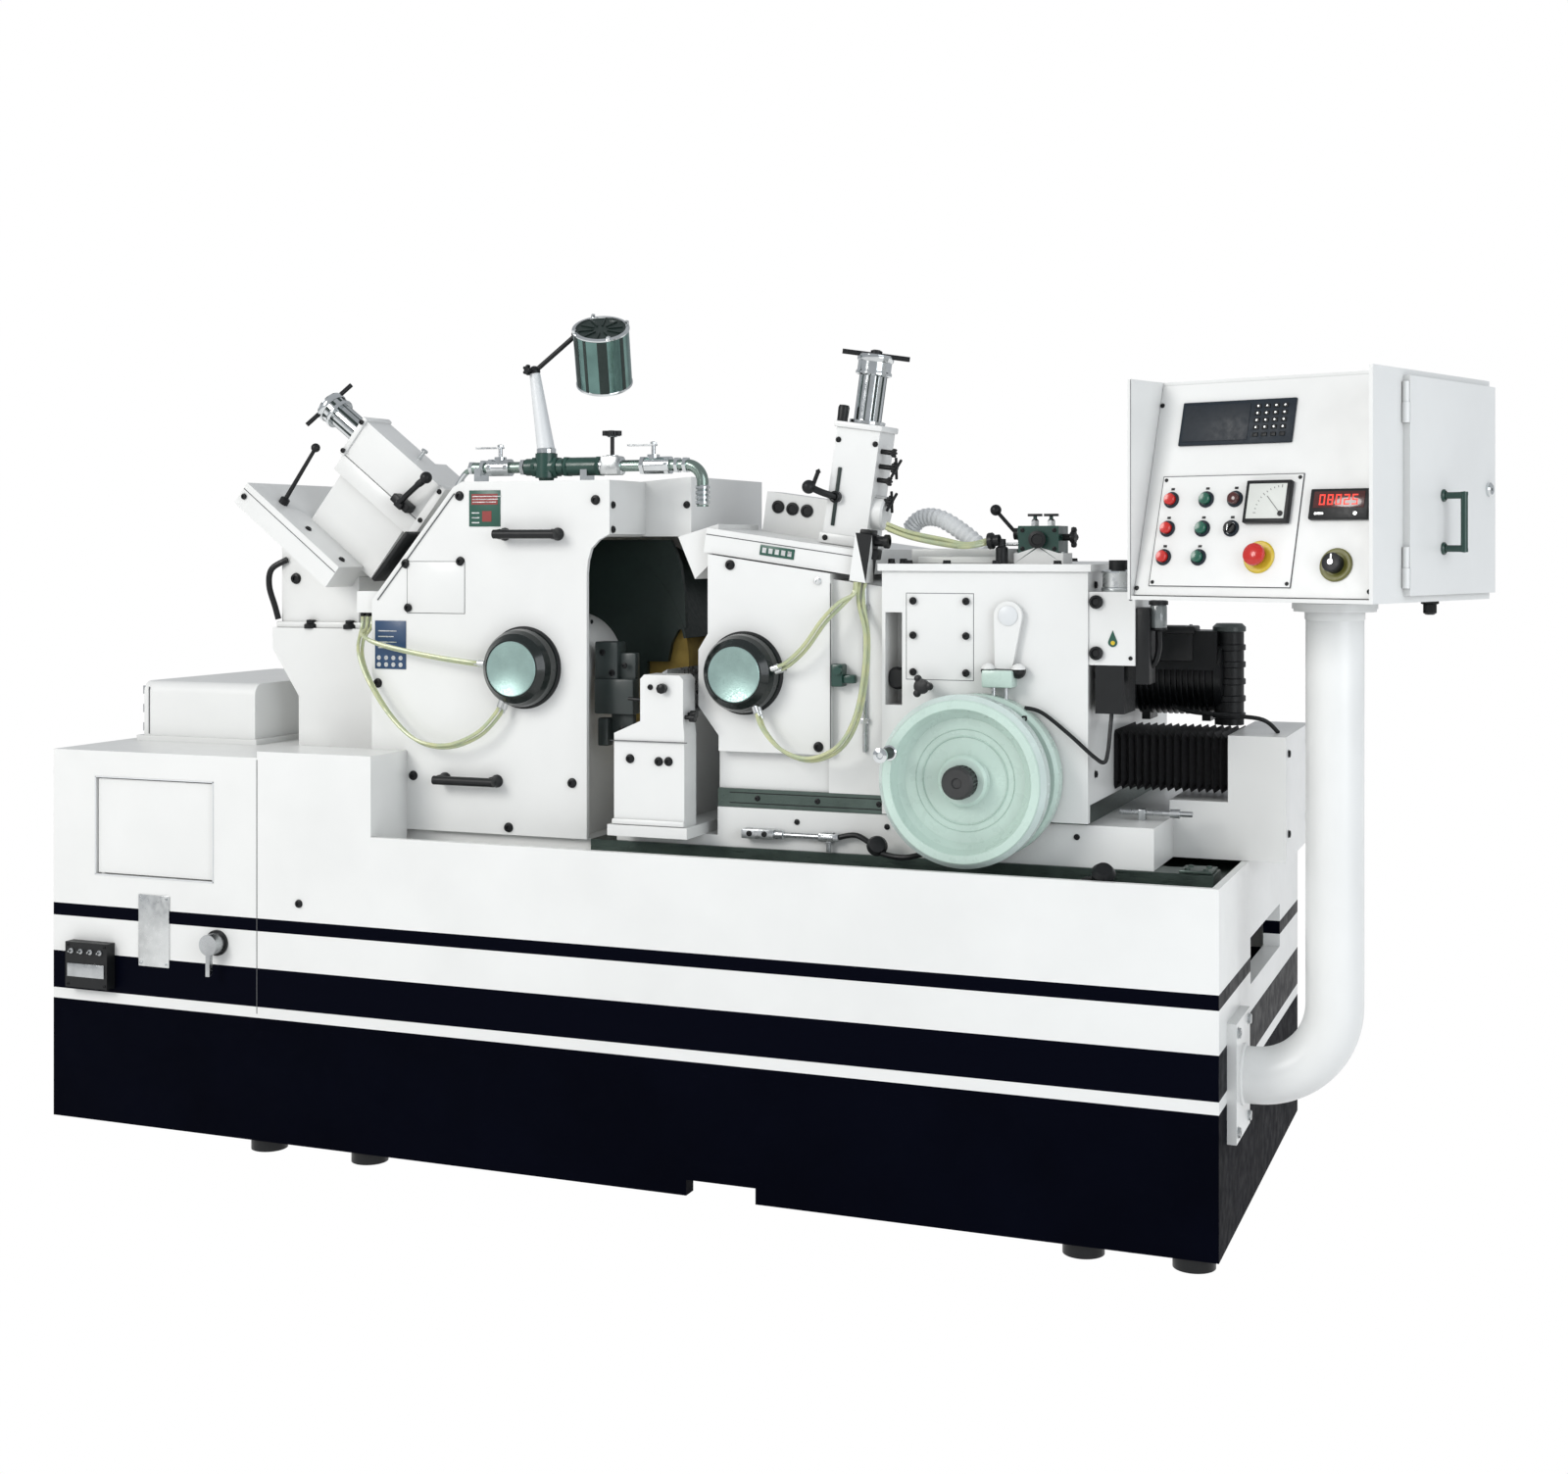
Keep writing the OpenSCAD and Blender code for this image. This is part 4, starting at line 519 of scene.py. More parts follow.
def on_strip(q, n):
    """Every third strip of a quill's round side."""
    return q.z < 280 and abs(n.z) < 0.1 and math.degrees(math.atan2(n.y, n.x)) % 30 < 10


LINE_Y, LINE_Z = -400, 1700
WHEEL_X, WHEEL_Z = 935, 992
# The pendant's controls, and the flat front that stands out from its panel
RED_U, GREEN_U, ROWS = -206, -123, (92, 154, 217)
BUTTONS = tuple(product((RED_U, GREEN_U), ROWS))
SELECTOR, PILOT = (-56, 154), (-56, 217)
FLAT_FRONT = -2.2

for name, material, where, test in (
        ("pendant_panel", display_dark, PANEL,
         lambda q, n: q.y < -0.5 and between(q.x, -205, 53) and q.z > 335),
        ("pendant_panel", plastic, PANEL, lambda q, n: q.y < -2.5 and between(q.z, 164, 252) and (
            between(q.x, -25.5, 72.5) or between(q.x, 118, 243))),
        ("pendant_panel", steel, PANEL, lambda q, n: q.y < FLAT_FRONT and any(
            near(q, u, w, 17) for u, w in (*BUTTONS, SELECTOR))),
        ("pendant_panel", lens_brown, PANEL, lambda q, n: q.y < FLAT_FRONT and near(q, *PILOT, 12.5)),
        ("pendant_panel", yellow, PANEL, lambda q, n: q.y < FLAT_FRONT and near(q, 16, 93, 31)),
        ("pendant_panel", olive, PANEL, lambda q, n: q.y < -0.2 and near(q, 186, 78, 33)),
        ("pendant_door", valve_green, DOOR, lambda q, n: q.x > 15 and between(q.y, 280, 305)),
        ("pendant_door", steel, DOOR, lambda q, n: q.y > 557),
        # The handwheel's rim faces take the paler mint, partly painted sheen.
        ("handwheel", pale_mint_rim_sheen, WORLD, lambda q, n: q.y < -519.5 and not near(q, WHEEL_X, WHEEL_Z, 166)),
        ("handwheel", hub_dark, WORLD, lambda q, n: q.y < -547.5 and near(q, WHEEL_X, WHEEL_Z, 34.5)),
        ("handwheel", plastic, WORLD, lambda q, n: q.y < -571 and near(q, 774.3, 1050.5, 13.5)),
        ("handwheel", steel, WORLD, lambda q, n: q.y > -519.5),
        ("coolant_line", chrome, WORLD,
         lambda q, n: between(q.x, -110, 200) and on_pipe(q, 15) and q.z > 1665),
        ("coolant_line", chrome, WORLD, lambda q, n: q.x < -262 and on_pipe(q, 15)),
        ("coolant_line", valve_green, WORLD, lambda q, n: between(q.x, -226, -119) and on_pipe(q, 14.2)),
        ("lamp_arm", plastic, WORLD, lambda q, n: q.x > -194.5 and q.z > 1938),
        ("lube_unit", plastic, WORLD, lambda q, n: q.z < 1245.5 or q.z > 1452.5),
        ("lube_unit", tin, WORLD, lambda q, n: between(q.z, 1406.5, 1452.5)),
        ("hydraulic_valve", white, WORLD, lambda q, n: q.z < 1490.5),
        ("infeed_lever", plastic, WORLD, lambda q, n: q.z < 1234.5 and near(q, 1013, 1230, 75) and (
            abs(q.x - 1013) > 21 or q.y < -467.5)),
        ("left_dresser_quill", dark_enamel_and_shade, LEFT, on_strip),
        ("right_dresser_quill", dark_enamel_and_shade, RIGHT, on_strip),
        ("left_dresser_quill", plastic, LEFT,
         lambda q, n: q.z > 290.3 or q.z > 280 and math.hypot(q.x, q.y + 245) > 40.2),
        ("right_dresser_quill", plastic, RIGHT,
         lambda q, n: q.z > 440.3 or q.z > 430 and math.hypot(q.x, q.y + 290) > 40.2),
        ("right_dresser_base", plastic, RIGHT, lambda q, n: q.x > 68 and q.z > -40 and q.y < -380),
        # The lamp's top face is darkened: partly a dark cap, partly painted shade in the opening.
        ("lamp_head", dark_enamel_and_shade, LAMP,
         lambda q, n: abs(q.z - 72.5) < 0.6 and math.hypot(q.x, q.y) < 70),
        ("lamp_head", plastic, LAMP, lambda q, n: math.hypot(q.x, q.y) > 69.5)):
    paint(name, material, test, where)


def polar(r, degrees, x=0, z=0):
    """A point on a circle round x, z."""
    a = math.radians(degrees)
    return x + r * math.cos(a), z + r * math.sin(a)


def band(inner, outer, angles, x=0, z=0):
    """The outline of a strip between two arcs."""
    return [polar(outer, a, x, z) for a in angles] + [polar(inner, a, x, z) for a in reversed(angles)]


# Base
def base_details():
    front = -613
    Piece().box(-869, front - 0.6, 345, -867, front, 975, 0).done("cabinet_seam", "machine", seam)
    Piece().box(-1227, front - 3, 438, -1132, front, 620, 1).done("bare_plate", "machine", tin)
    Piece().screw(((-1219, -1140), front - 3, (446, 612)), FRONT, 3.5).done("plate_rivets", "machine", steel)
    (Piece().turned(((-1415, -1385, -1355, -1325), -643, 468), FRONT, (7, 0, 7, 4, 3, 5, 2.4, 14, 0, 15), 12)
     .box(-1428, -646, 402, -1312, -643, 436, 1).done("switch_toggles", "machine", steel))
    (Piece().screw((-744, front, 626), FRONT, 9)
     .screw(((-1428, -1312), -643, (382, 482)), FRONT, 4).done("base_screws", "machine", black))
    (Piece().turned((1246, -560, 800), (0.25, -0.6, 0.75), (11, -160, 11, 0, 24, 4, 26, 18, 18, 30, 0, 32))
     .tube([(1246, -560, 800), (1200, -545, 790), (1150, -530, 740), (1130, -530, 650)], 6)
     .done("trough_drain", "machine", black))
    p = Piece()
    for x in ((-1366, -1363), (-1001, -998)):
        p.box(x[0], front - 1.5, 661, x[1], front, 915, 0.4)
    for z in ((661, 664), (912, 915)):
        p.box(-1366, front - 1.5, z[0], -998, front, z[1], 0.4)
    p.done("door_frame_lip", "machine", cool)
    Piece().box(-1424, -332, 998, -1422, -329.5, 1125, 0).done("top_box_seam", "machine", seam)
    (Piece().turned((-1442.5, -325, (1005, 1055, 1105)), UP, (0, 0, 4, 0, 4, 22, 0, 22), 12)
     .done("top_box_hinges", "machine", steel))
    (Piece().turned(((-1300, 1300), (-470, 470), 120), UP, (16, 0, 30, 0, 30, 4, 16, 4))
     .done("anchor_washers", "machine", steel))


# Guard
def guard_details():
    p = Piece()
    for x, z in ((-387, 1630), (-541, 1462), (-384, 1468), (-533, 1352), (-622, 1162), (-519, 934),
            (-249, 818), (-12, 1617), (-75, 934)):
        p.screw((x, FACE_Y, z), FRONT, 10.5)
    (p.screw((25, -432, (1605, 1546)), ACROSS, 8)
     .screw((138, -250, 1608), FRONT, 8)
     .screw((-36, -425, 1323), ACROSS, 5).done("guard_screws", "machine", black))
    Piece().box(-536, FACE_Y - 1.4, 1340, -373, FACE_Y, 1467, 0.6).done("guard_hatch", "machine", white)
    p = Piece()
    for x in (-537.5, -373):
        p.box(x, FACE_Y - 0.6, 1339, x + 1.2, FACE_Y, 1468, 0)
    for z in (1338.5, 1467):
        p.box(-537, FACE_Y - 0.6, z, -372, FACE_Y, z + 1.2, 0)
    p.done("hatch_seam", "machine", seam)
    Piece().box(-359, FACE_Y - 1.8, 1554, -272, FACE_Y, 1643, 0.6).done("green_plate", "machine", plate_green)
    (Piece().box(-352, FACE_Y - 2.4, 1608, -279, FACE_Y - 1, 1634, 0)
     .box(-322, FACE_Y - 2.4, 1566, -296, FACE_Y - 1, 1592, 0)
     .done("green_plate_inlay", "machine", plate_red))
    p = Piece()
    for i in range(3):
        p.box(-351, FACE_Y - 2.4, 1562 + 12 * i, -330, FACE_Y - 1, 1565 + 12 * i, 0)
        p.box(-349, FACE_Y - 3, 1613 + 7 * i, -283 + 6 * i, FACE_Y - 1.5, 1615 + 7 * i, 0)
    p.done("green_plate_rows", "machine", tin)
    Piece().box(-630, FACE_Y - 1.8, 1198, -540, FACE_Y, 1319, 0.6).done("blue_plate", "machine", plate_blue)
    p = Piece().turned(((-618, -597, -576, -555), FACE_Y - 1.8, (1209, 1226)), FRONT,
                       (5.8, 0, 5.8, 0.6, 0, 0.6), 14)
    for i in range(4):
        p.box(-620, FACE_Y - 2.4, 1250 + 14 * i, -575 + 8 * (i % 2), FACE_Y - 1, 1252.5 + 14 * i, 0)
    p.done("blue_plate_dots", "machine", tin)
    (Piece(frame_at(-0.586, -0.375, 1.4748, "Y", -50.2))
     .box(-78, -70, 2, 78, 70, 14, 3).done("slope_wiper", "machine", plastic))
    (Piece(frame_at(-0.53, -0.4515, 1.502, "Y", -50.2))
     .box(-160, -1, -14, 185, 1.5, -12, 0).done("guard_edge_line", "machine", seam))
    for name, x, z in (("upper_handle_ends", -186, 1535), ("lower_handle_ends", -354, 930)):
        (Piece().turned(((x - 73, x + 73), FACE_Y, z), FRONT, (16, 0, 16, 4, 12.5, 10, 12.5, 30), 16)
         .done(name, "machine", plastic))
    p = Piece()
    for x, w in ((-665, -428), (-657, -420), (-684, -424), (-676, -416)):
        p.turned((x, w, 1328), UP, (4.8, 0, 5.8, 2, 5.8, 9.5), 12)
    p.done("hose_sockets", "machine", black)


def throat_details():
    # A dark shroud and band round the wheel: partly the guard's dark inner cover, partly painted shade inside
    # the guard.
    (Piece().prism([(-240, 1522), (60, 1522), (86, 1460), (98, 1380), (101.5, 1300), (80, 1295), (62, 1262),
            (52, 1215), (-5, 1215), (-5, 1170), (-240, 1170)], (-175, -160))
     .done("shroud_and_painted_shade", "machine", dark_enamel_and_shade))
    (Piece().prism(band(309, 315.5, range(12, 76, 4), -206, AXIS_Z), (-176, 190))
     .done("shroud_band_and_painted_shade", "machine", dark_enamel_and_shade))
    p = Piece()
    for i in range(7):
        x, y, foot = -35 + 24 * i, 190 + 2 * (i % 2), 900 if i < 2 else 1222
        p.box(x, y, foot + 12 * (i % 3), x + 23, y + 4, 1528, 1)
    p.done("throat_curtain", "machine", dark_enamel_and_shade)
    (Piece().box(-58, -365, 1175, 4, -315, 1272, 4)
     .box(0, -350, 1150, 46, -325, 1245, 3)
     .box(-56, -372, 1096, 50, -332, 1182, 4)
     .box(-20, -350, 1030, 40, -330, 1104, 3)
     .box(-46, -372, 1018, -18, -340, 1086, 3).done("throat_brackets", "machine", bracket_grey))
    p = Piece()
    for x, z in ((-36, 1246), (-10, 1196), (-40, 1120), (30, 1120), (18, 1060), (24, 1215)):
        p.screw((x, -366, z), FRONT, 7)
    p.done("bracket_screws", "machine", black)


# Coolant line and lamp
def line_details():
    y, z = LINE_Y, LINE_Z
    p = Piece()
    for low, high, r in ((-205, -140, 23.5), (-118, -22, 22.5)):
        p.turned((low, y, z), ACROSS, (15, 0, r, 2, r, high - low - 2, 15, high - low), 20)
    (p.turned(((-205, -147, -118, -30), y, z), ACROSS, (20, 0, 26.5, 1, 26.5, 10, 20, 11), 6)
     .turned((-172, y, z - 34), UP, (0, 0, 17, 0, 19, 4, 19, 30), 16)
     .done("line_sleeves", "machine", valve_green))
    p = Piece()
    for x, r, w in ((-385, 17, 12), (-352, 21, 13), (-330, 23.5, 14), (-284, 23.5, 14), (-240, 21, 13),
            (-14, 22, 14), (24, 22, 14), (86, 23.5, 14), (150, 23.5, 14), (176, 20, 12), (198, 20, 12)):
        p.turned((x, y, z), ACROSS, (r * 0.7, 0, r, w * 0.12, r, w * 0.88, r * 0.7, w), 6)
    (p.turned((247, y, (1604, 1616, 1628, 1640)), UP, (14.5, 0, 17.5, 3, 17.5, 8, 14.5, 11), 20)
     .done("line_nuts", "machine", chrome))
    Piece().box(-16, y - 22, z - 22, 32, y + 22, z + 24, 5).done("knob_valve_body", "machine", tin)
    for side, x in (("left", -300), ("right", 118)):
        (Piece().turned((x, y, 1749), UP, (8, 0, 8, 7, 0, 9), 6)
         .done(f"{side}_lever_nut", f"valve_{side}", steel))
    (Piece().turned((8, y, 1770), UP, (11, 0, 13, 2, 11, 6, 8, 7.2), 20)
     .done("knob_collar", "line_knob", steel))


def lamp_details():
    (Piece().star((-212, -412, 1938), (-0.4, -0.9, 0), 14, 14)
     .ball((-205, -400, 1935), 14.5).done("lamp_elbow_knob", "lamp_arm", plastic))
    (Piece().turned((-172, -400, 1734), UP, (23.5, 0, 23.5, 10, 18, 16))
     .done("lamp_foot_collar", "lamp_arm", chrome))
    # A dark disc with slats over the shade's top: partly a dark cap, partly painted shade in the opening.
    p = Piece(LAMP).turned((0, 0, 72.5), UP, (0, 0.6, 58, 0.6, 60, 2), 48)
    for turn in range(0, 360, 36):
        x, y = polar(36, turn)
        spin = Matrix.Rotation(math.radians(turn), 4, "Z")
        p.box(x - 18, y - 2, 73.5, x + 18, y + 2, 76.5, 0.5, spin)
    p.done("lamp_top_cap_and_shade", "lamp_head", dark_enamel_and_shade)
    p = (Piece(LAMP).turned((0, 0, 70.5), UP, (68.2, 0, 70, 2, 70, 5, 61, 7, 60, 3), 48)
     .turned((0, 0, -73.5), UP, (65.5, 2, 66.5, 0, 69.5, 0, 69.5, 4, 68.2, 6), 48))
    for turn in (45, 135, 225, 315):
        x, y = polar(66, turn)
        p.box(x - 4, y - 4, 74, x + 4, y + 4, 84, 1)
    p.done("lamp_rims", "lamp_head", chrome)
    # Dark streaks down the shade's round side: painted reflections.
    p = Piece(LAMP)
    for a, w in ((-35, 16), (-8, 7), (30, 20), (75, 9), (150, 24), (215, 14)):
        p.prism(band(67.5, 68.6, [a - 90 + w * k / 6 - w / 2 for k in range(7)]), (-68, 69.5), 2)
    p.done("lamp_painted_reflection_strips", "lamp_head", dark_enamel_and_shade)
    (Piece(LAMP).turned((0, 0, 40), DOWN, (14, 0, 14, 20, 22, 30, 28, 45, 24, 62, 12, 72, 0, 75))
     .done("lamp_bulb", "lamp_head", tin))


# Dressers
def left_dresser_details():
    Piece(LEFT).box(-275, -400.6, -79, -273, -400, 276, 0).done("slab_seam", "machine", seam)
    (Piece(LEFT).box(-52.5, -335, -118, -30, -299, -58, 4)
     .box(-52.5, -345, -104, -36, -333, -80, 3)
     .tube([(-46, -338, -88), (-10, -345, -98), (58, -350, -117)], 7.5)
     .ball((64, -350, -119), 15.5)
     .turned((40, -349, -112), (0.8, 0, -0.3), (7.5, -10, 9.5, 0, 9.5, 12, 7.5, 16))
     .done("left_clamp", "left_dresser", plastic))
    (Piece(LEFT).box(-104, -312, -164, 62, -180, -141, 3)
     .box(-60, -306, 137, 60, -184, 152, 3)
     .box(-104, -303, -142, -56, -187, 142, 2).done("left_body_plates", "left_dresser", white))
    (Piece(LEFT).screw(((-46, 46), -310, 145), FRONT, 6)
     .screw(((-46, 46), -312, -153), FRONT, 6)
     .screw((-256, -352, (-50, 80)), ACROSS, 8)
     .screw((-290, -402, 262), FRONT, 7).done("left_dresser_screws", "left_dresser", black))
    (Piece(LEFT).turned((54, -245, -20), ACROSS, (5, 0, 5, 22, 9, 23, 9, 28, 0, 29), 12)
     .done("left_oil_cup", "left_dresser", chrome))
    (Piece(LEFT).turned((-256, -340, 190), (1, 0, 0.05), (13, 0, 13, 14, 6, 18, 5, 165), 12)
     .ball((-80, -340, 199), 12).done("slab_lever", "machine", plastic))
    y = -245
    (Piece(LEFT).turned((0, y, 146), UP, (34, 0, 45, 1, 45, 10, 34, 12))
     .turned((0, y, 244), UP, (41, 0, 42.5, 3, 42.5, 8, 41, 11))
     .turned((0, y, 270), UP, (41, 0, 43, 4, 43, 14, 38, 21.5, 12, 21.5))
     .done("left_quill_rings", "left_quill", chrome))
    (Piece().turned(((-932, -811), -290, 1289), UP, (18, 0, 18, 10, 12, 14, 12, 22, 0, 24), 16)
     .screw((-985, -280, 1420), FRONT, 13).done("column_bolts", "machine", black))
    Piece().box(-1040, -292, 1290, -770, -278, 1306, 3).done("foot_flange", "machine", white)
    (Piece().tube([(-1010, -285, 1470), (-1052, -295, 1445), (-1060, -295, 1400), (-1045, -290, 1345),
            (-1036, -288, 1312)], 8)
     .done("left_cable", "machine", plastic))


def right_dresser_details():
    (Piece(RIGHT).box(-37, -348.5, 30, -28, -344.5, 168, 1.5)
     .done("right_body_slot", "right_dresser", dark_enamel_and_shade))
    (Piece(RIGHT).tube([(-32, -352, 98), (-60, -368, 104), (-86, -376, 112)], 8.5)
     .ball((-92, -378, 113), 16.5)
     .turned((-84, -374, 116), (0.25, 0, 1), (5, 0, 5, 34, 7, 37, 0, 44), 12)
     .turned((-32, -347, 98), FRONT, (14, 0, 14, 12, 9, 16))
     .turned((-50, -325, 262), UP, (7, 0, 7, 10, 12.5, 12, 13.5, 46, 11, 52, 0, 53))
     .done("right_body_lever", "right_dresser", plastic))
    p = Piece(RIGHT)
    for x, z, r in ((86, 217, 11), (92, 182, 16), (84, 150, 11), (92, 103, 16)):
        p.turned((52, -318, z), ACROSS, (6, 0, 6, x - 52), 12)
        p.star((x - 8, -318, z), ACROSS, r, 14)
        if r > 12:
            p.tube([(x + 4, -345, z - 20), (x + 4, -318, z), (x + 4, -291, z + 20)], 3.5)
            p.tube([(x + 4, -330, z + 24), (x + 4, -318, z), (x + 4, -306, z - 24)], 3.5)
    p.done("right_star_knobs", "right_dresser", plastic)
    (Piece(RIGHT).turned((53, -300, 74), ACROSS, (40, 0, 40, 24, 36, 29, 0, 30), 32)
     .box(-60, -352, 262, 60, -230, 276, 3)
     .box(-62, -350, -13, 64, -232, 12, 3).done("right_body_boss", "right_dresser", white))
    (Piece(RIGHT).screw(((-46, 46), -345, 232), FRONT, 6)
     .screw(((-46, 46), -350, 0), FRONT, 6).done("right_body_screws", "right_dresser", black))
    y = -290
    (Piece(RIGHT).turned((0, y, 276), UP, (34, 0, 43, 1, 43, 8, 34, 10))
     .turned((0, y, 391), UP, (38, 0, 43, 3, 43, 8, 40, 12))
     .turned((0, y, 424), UP, (41, 0, 43.5, 4, 43.5, 12, 37, 17.5, 10, 17.5))
     .done("right_quill_rings", "right_quill", chrome))
    (Piece(RIGHT).turned((0, y, 440), UP, (14, 0, 14, 10, 7, 13, 0, 13), 16)
     .done("right_quill_nut", "right_quill", plastic))
    (Piece(RIGHT).turned(((-236, -198, -160), -190, 50), FRONT, (16, 0, 16, 3, 11, 3.5, 10, 1, 0, 1), 20)
     .done("bracket_holes", "upper_slide", black))
    Piece(RIGHT).box(-168, -442, -58, -82, -440, -34, 0.5).done("slab_plate", "upper_slide", plate_green)
    p = Piece(RIGHT)
    for i in range(5):
        p.box(-162 + 16 * i, -442.5, -52, -152 + 16 * i, -441.5, -40, 0)
    p.done("slab_plate_rows", "upper_slide", tin)
    Piece(RIGHT).box(-309, -440.6, -30, 65, -440, -28, 0).done("right_slab_seam", "upper_slide", seam)
    (Piece(RIGHT).turned((104, -424, 12), (1, 0, 0.1), (12, 0, 12, 22, 16, 24, 16, 34, 8, 36), 12)
     .box(72, -448, 22, 100, -400, 36, 3)
     .box(100, -440, -30, 120, -410, -6, 3).done("manifold_fittings", "upper_slide", plastic))
    p = Piece()
    for k, lift in enumerate((0, 10, 4, -4)):
        p.tube([(712, -420 + 6 * k, 1548 + lift), (760, -400 + 10 * k, 1528 + lift),
                (830, -372 + 12 * k, 1512 + lift), (890, -352 - 6 * k, 1506 + lift * 0.5),
                (938, -345, 1516 + lift * 0.6)], 4.8)
    p.done("top_hoses", "upper_slide", hose)
    (Piece().turned((934, -345, 1517), (1, -0.1, 0.1), (10, 0, 19, 2, 19, 12, 13, 16, 13, 28, 0, 29), 12)
     .turned((966, -345, 1466), UP, (14, 0, 14, 36, 9, 40, 9, 56, 0, 57), 12)
     .done("top_hose_fitting", "upper_slide", plastic))
    (Piece().tube([(690, -170, 1545), (720, -175, 1572), (770, -190, 1572), (830, -205, 1540),
            (880, -215, 1500), (900, -215, 1466)], 19, 14, 9, 0.16)
     .done("top_duct", "upper_slide", cool))


# Slides
def slide_details():
    y = FACE_Y
    # A dark line showing round the gear cover: its painted shadow.
    Piece().box(771.5, y - 0.2, 1204.5, 930.5, y, 1400.5, 0).done("gear_cover_shadow_line", "upper_slide", seam)
    Piece().box(773, y - 0.3, 1206, 929, y, 1399, 0).done("gear_cover", "upper_slide", white)
    p = Piece().screw(((789, 913), y - 4, (1382.5, 1305, 1222)), FRONT, 7.5)
    for x, z in ((339, 1462), (560, 1044)):
        p.screw((x, y, z), FRONT, 10.5)
    p.screw(((770, 860, 975, 1115), -425, 1466), UP, 9, 0.9)
    p.screw(((760, 950, 1150), 425, 1466), UP, 9, 0.9)
    for x, w in ((720, -400), (750, -400), (735, -360)):
        p.screw((x, w, 1466), UP, 8, 1.4)
    p.done("slide_box_screws", "upper_slide", black)
    Piece().screw((558, y, 1425), FRONT, 8).done("housing_plug", "upper_slide", tin)
    (Piece().box(735, -300, 1466, 990, -120, 1500, 4)
     .box(760, -330, 1466, 960, -296, 1482, 3).done("lid_block", "upper_slide", white))
    (Piece().box(594, -462, 1184, 622, -428, 1236, 4)
     .box(618, -456, 1192, 650, -434, 1212, 4)
     .turned((612, -462, 1222), FRONT, (10, 0, 10, 8, 0, 9), 12)
     .done("side_valve", "upper_slide", valve_green))
    Piece().box(589, -451.5, 1030, 590.5, -449.5, 1420, 0).done("housing_seams", "upper_slide", seam)
    p = Piece().tube([(668, -436, 1035), (668, -436, 1200), (668, -436, 1420)], 5)
    for z in (1100, 1360):
        p.box(658, -440, z, 678, -428, z + 12, 1)
    p.done("housing_pipe", "upper_slide", steel)
    (Piece().turned((742, -372, 1205), FRONT, (8, 0, 8, 30, 24, 34, 26, 48, 20, 58, 0, 60))
     .done("recess_knob", "upper_slide", plastic))
    (Piece().turned((824, y, 1192), FRONT, (8, 0, 8, 40), 12)
     .star((824, y - 38, 1192), (-0.1, -1, 0.15), 28, 18, 3).done("lock_knob", "upper_slide", plastic))
    (Piece().turned((950, y, 995), FRONT, (176, 0, 184, 4, 184, 40, 176, 47, 60, 47), 64)
     .box(960, -495, 1194, 1030, -448, 1232, 4)
     .box(974, -492, 1140, 1022, -452, 1166, 4).done("gear_ring", "upper_slide", mint))
    Piece().turned(((982, 1010), -472, 1160), UP, (5, 0, 5, 40), 12).done("clamp_rods", "upper_slide", steel)
    Piece().screw((1058, -494, 1128), FRONT, 7).done("ring_screw", "upper_slide", black)
    (Piece().turned((1013, -466.4, 1352), FRONT, (22, 0, 22, 2, 20, 3, 0, 3), 32)
     .done("infeed_pivot_cap", "infeed_lever", cool))
    (Piece().tube([(1052, -470, 1150), (1090, -466, 1140), (1150, -466, 1095), (1205, -466, 1048),
            (1228, -464, 1036), (1236, -462, 1060), (1240, -452, 1120), (1240, -440, 1145)], 4.5)
     .done("slide_cable", "upper_slide", plastic))
    p = Piece()
    for z in (903, 927):
        p.box(330, -431.2, z, 1150, -430, z + 2, 0)
    for k in range(5):
        p.screw((400 + 150 * k, -430, 916), FRONT, 6)
    p.done("way_strips", "upper_slide", black)


def handwheel_details():
    x, z, y = WHEEL_X, WHEEL_Z, -520
    p = Piece()
    at = (x, y, z)
    (p.turned(at, FRONT, (94, 14.5, 96.5, 17.5, 99, 14.5), 72)
     .turned(at, FRONT, (110, 15, 112.2, 18.2, 114.5, 15), 72)
     .turned(at, FRONT, (52, 20, 56, 34, 50, 40, 36, 40), 48)
     .turned(at, FRONT, (179.5, 54.5, 177, 57.5, 160, 57.5, 158, 54.5), 96)
     .done("handwheel_rings", "handwheel", mint))
    p = Piece()
    for turn in range(0, 360, 15):
        u, w = polar(34, turn, x, z)
        p.box(u - 2.2, -594, w - 2.2, u + 2.2, -556, w + 2.2, 0.6)
    (p.turned((x, -595, z), FRONT, (34, -1, 36, 0, 30, 6, 12, 6, 10, 2, 0, 2), 32)
     .done("handwheel_hub_grip", "handwheel", hub_dark))
    cx, cz = polar(171, 160, x, z)
    (Piece().turned((cx, -572, cz), FRONT, (8, 0, 17, 1, 17, 6, 13.5, 8), 20)
     .turned((cx, -636, cz), FRONT, (13.5, -4, 16.5, 0, 16.5, 6, 8, 8, 6, 5, 0, 5), 20)
     .done("handwheel_grip_rings", "handwheel", chrome))


def valve_details():
    z0 = 1521
    p = (Piece().star((1110, -285, 1526), ACROSS, 24, 16, 4)
     .turned((1094, -285, 1526), ACROSS, (8, 0, 8, 18), 12))
    for x in (1028, 1066):
        p.box(x - 16, -292, 1574, x + 16, -278, 1580, 1)
    (p.turned((1047, -340, z0), FRONT, (20, 0, 20, 3, 13, 4, 12, 1.5, 0, 1.5), 24)
     .done("valve_fittings", "upper_slide", plastic))
    (Piece().turned(((1028, 1066), -285, 1552), UP, (10, 0, 10, 12, 6, 16), 6)
     .screw(((994, 1100), -318, 1490), UP, 5)
     .turned((960, -300, 1510), ACROSS, (4, 0, 4, 40), 10).done("valve_caps", "upper_slide", tin))
    Piece().screw(((1010, 1084), -330, (1500, 1542)), FRONT, 4.5).done("valve_screws", "upper_slide", black)


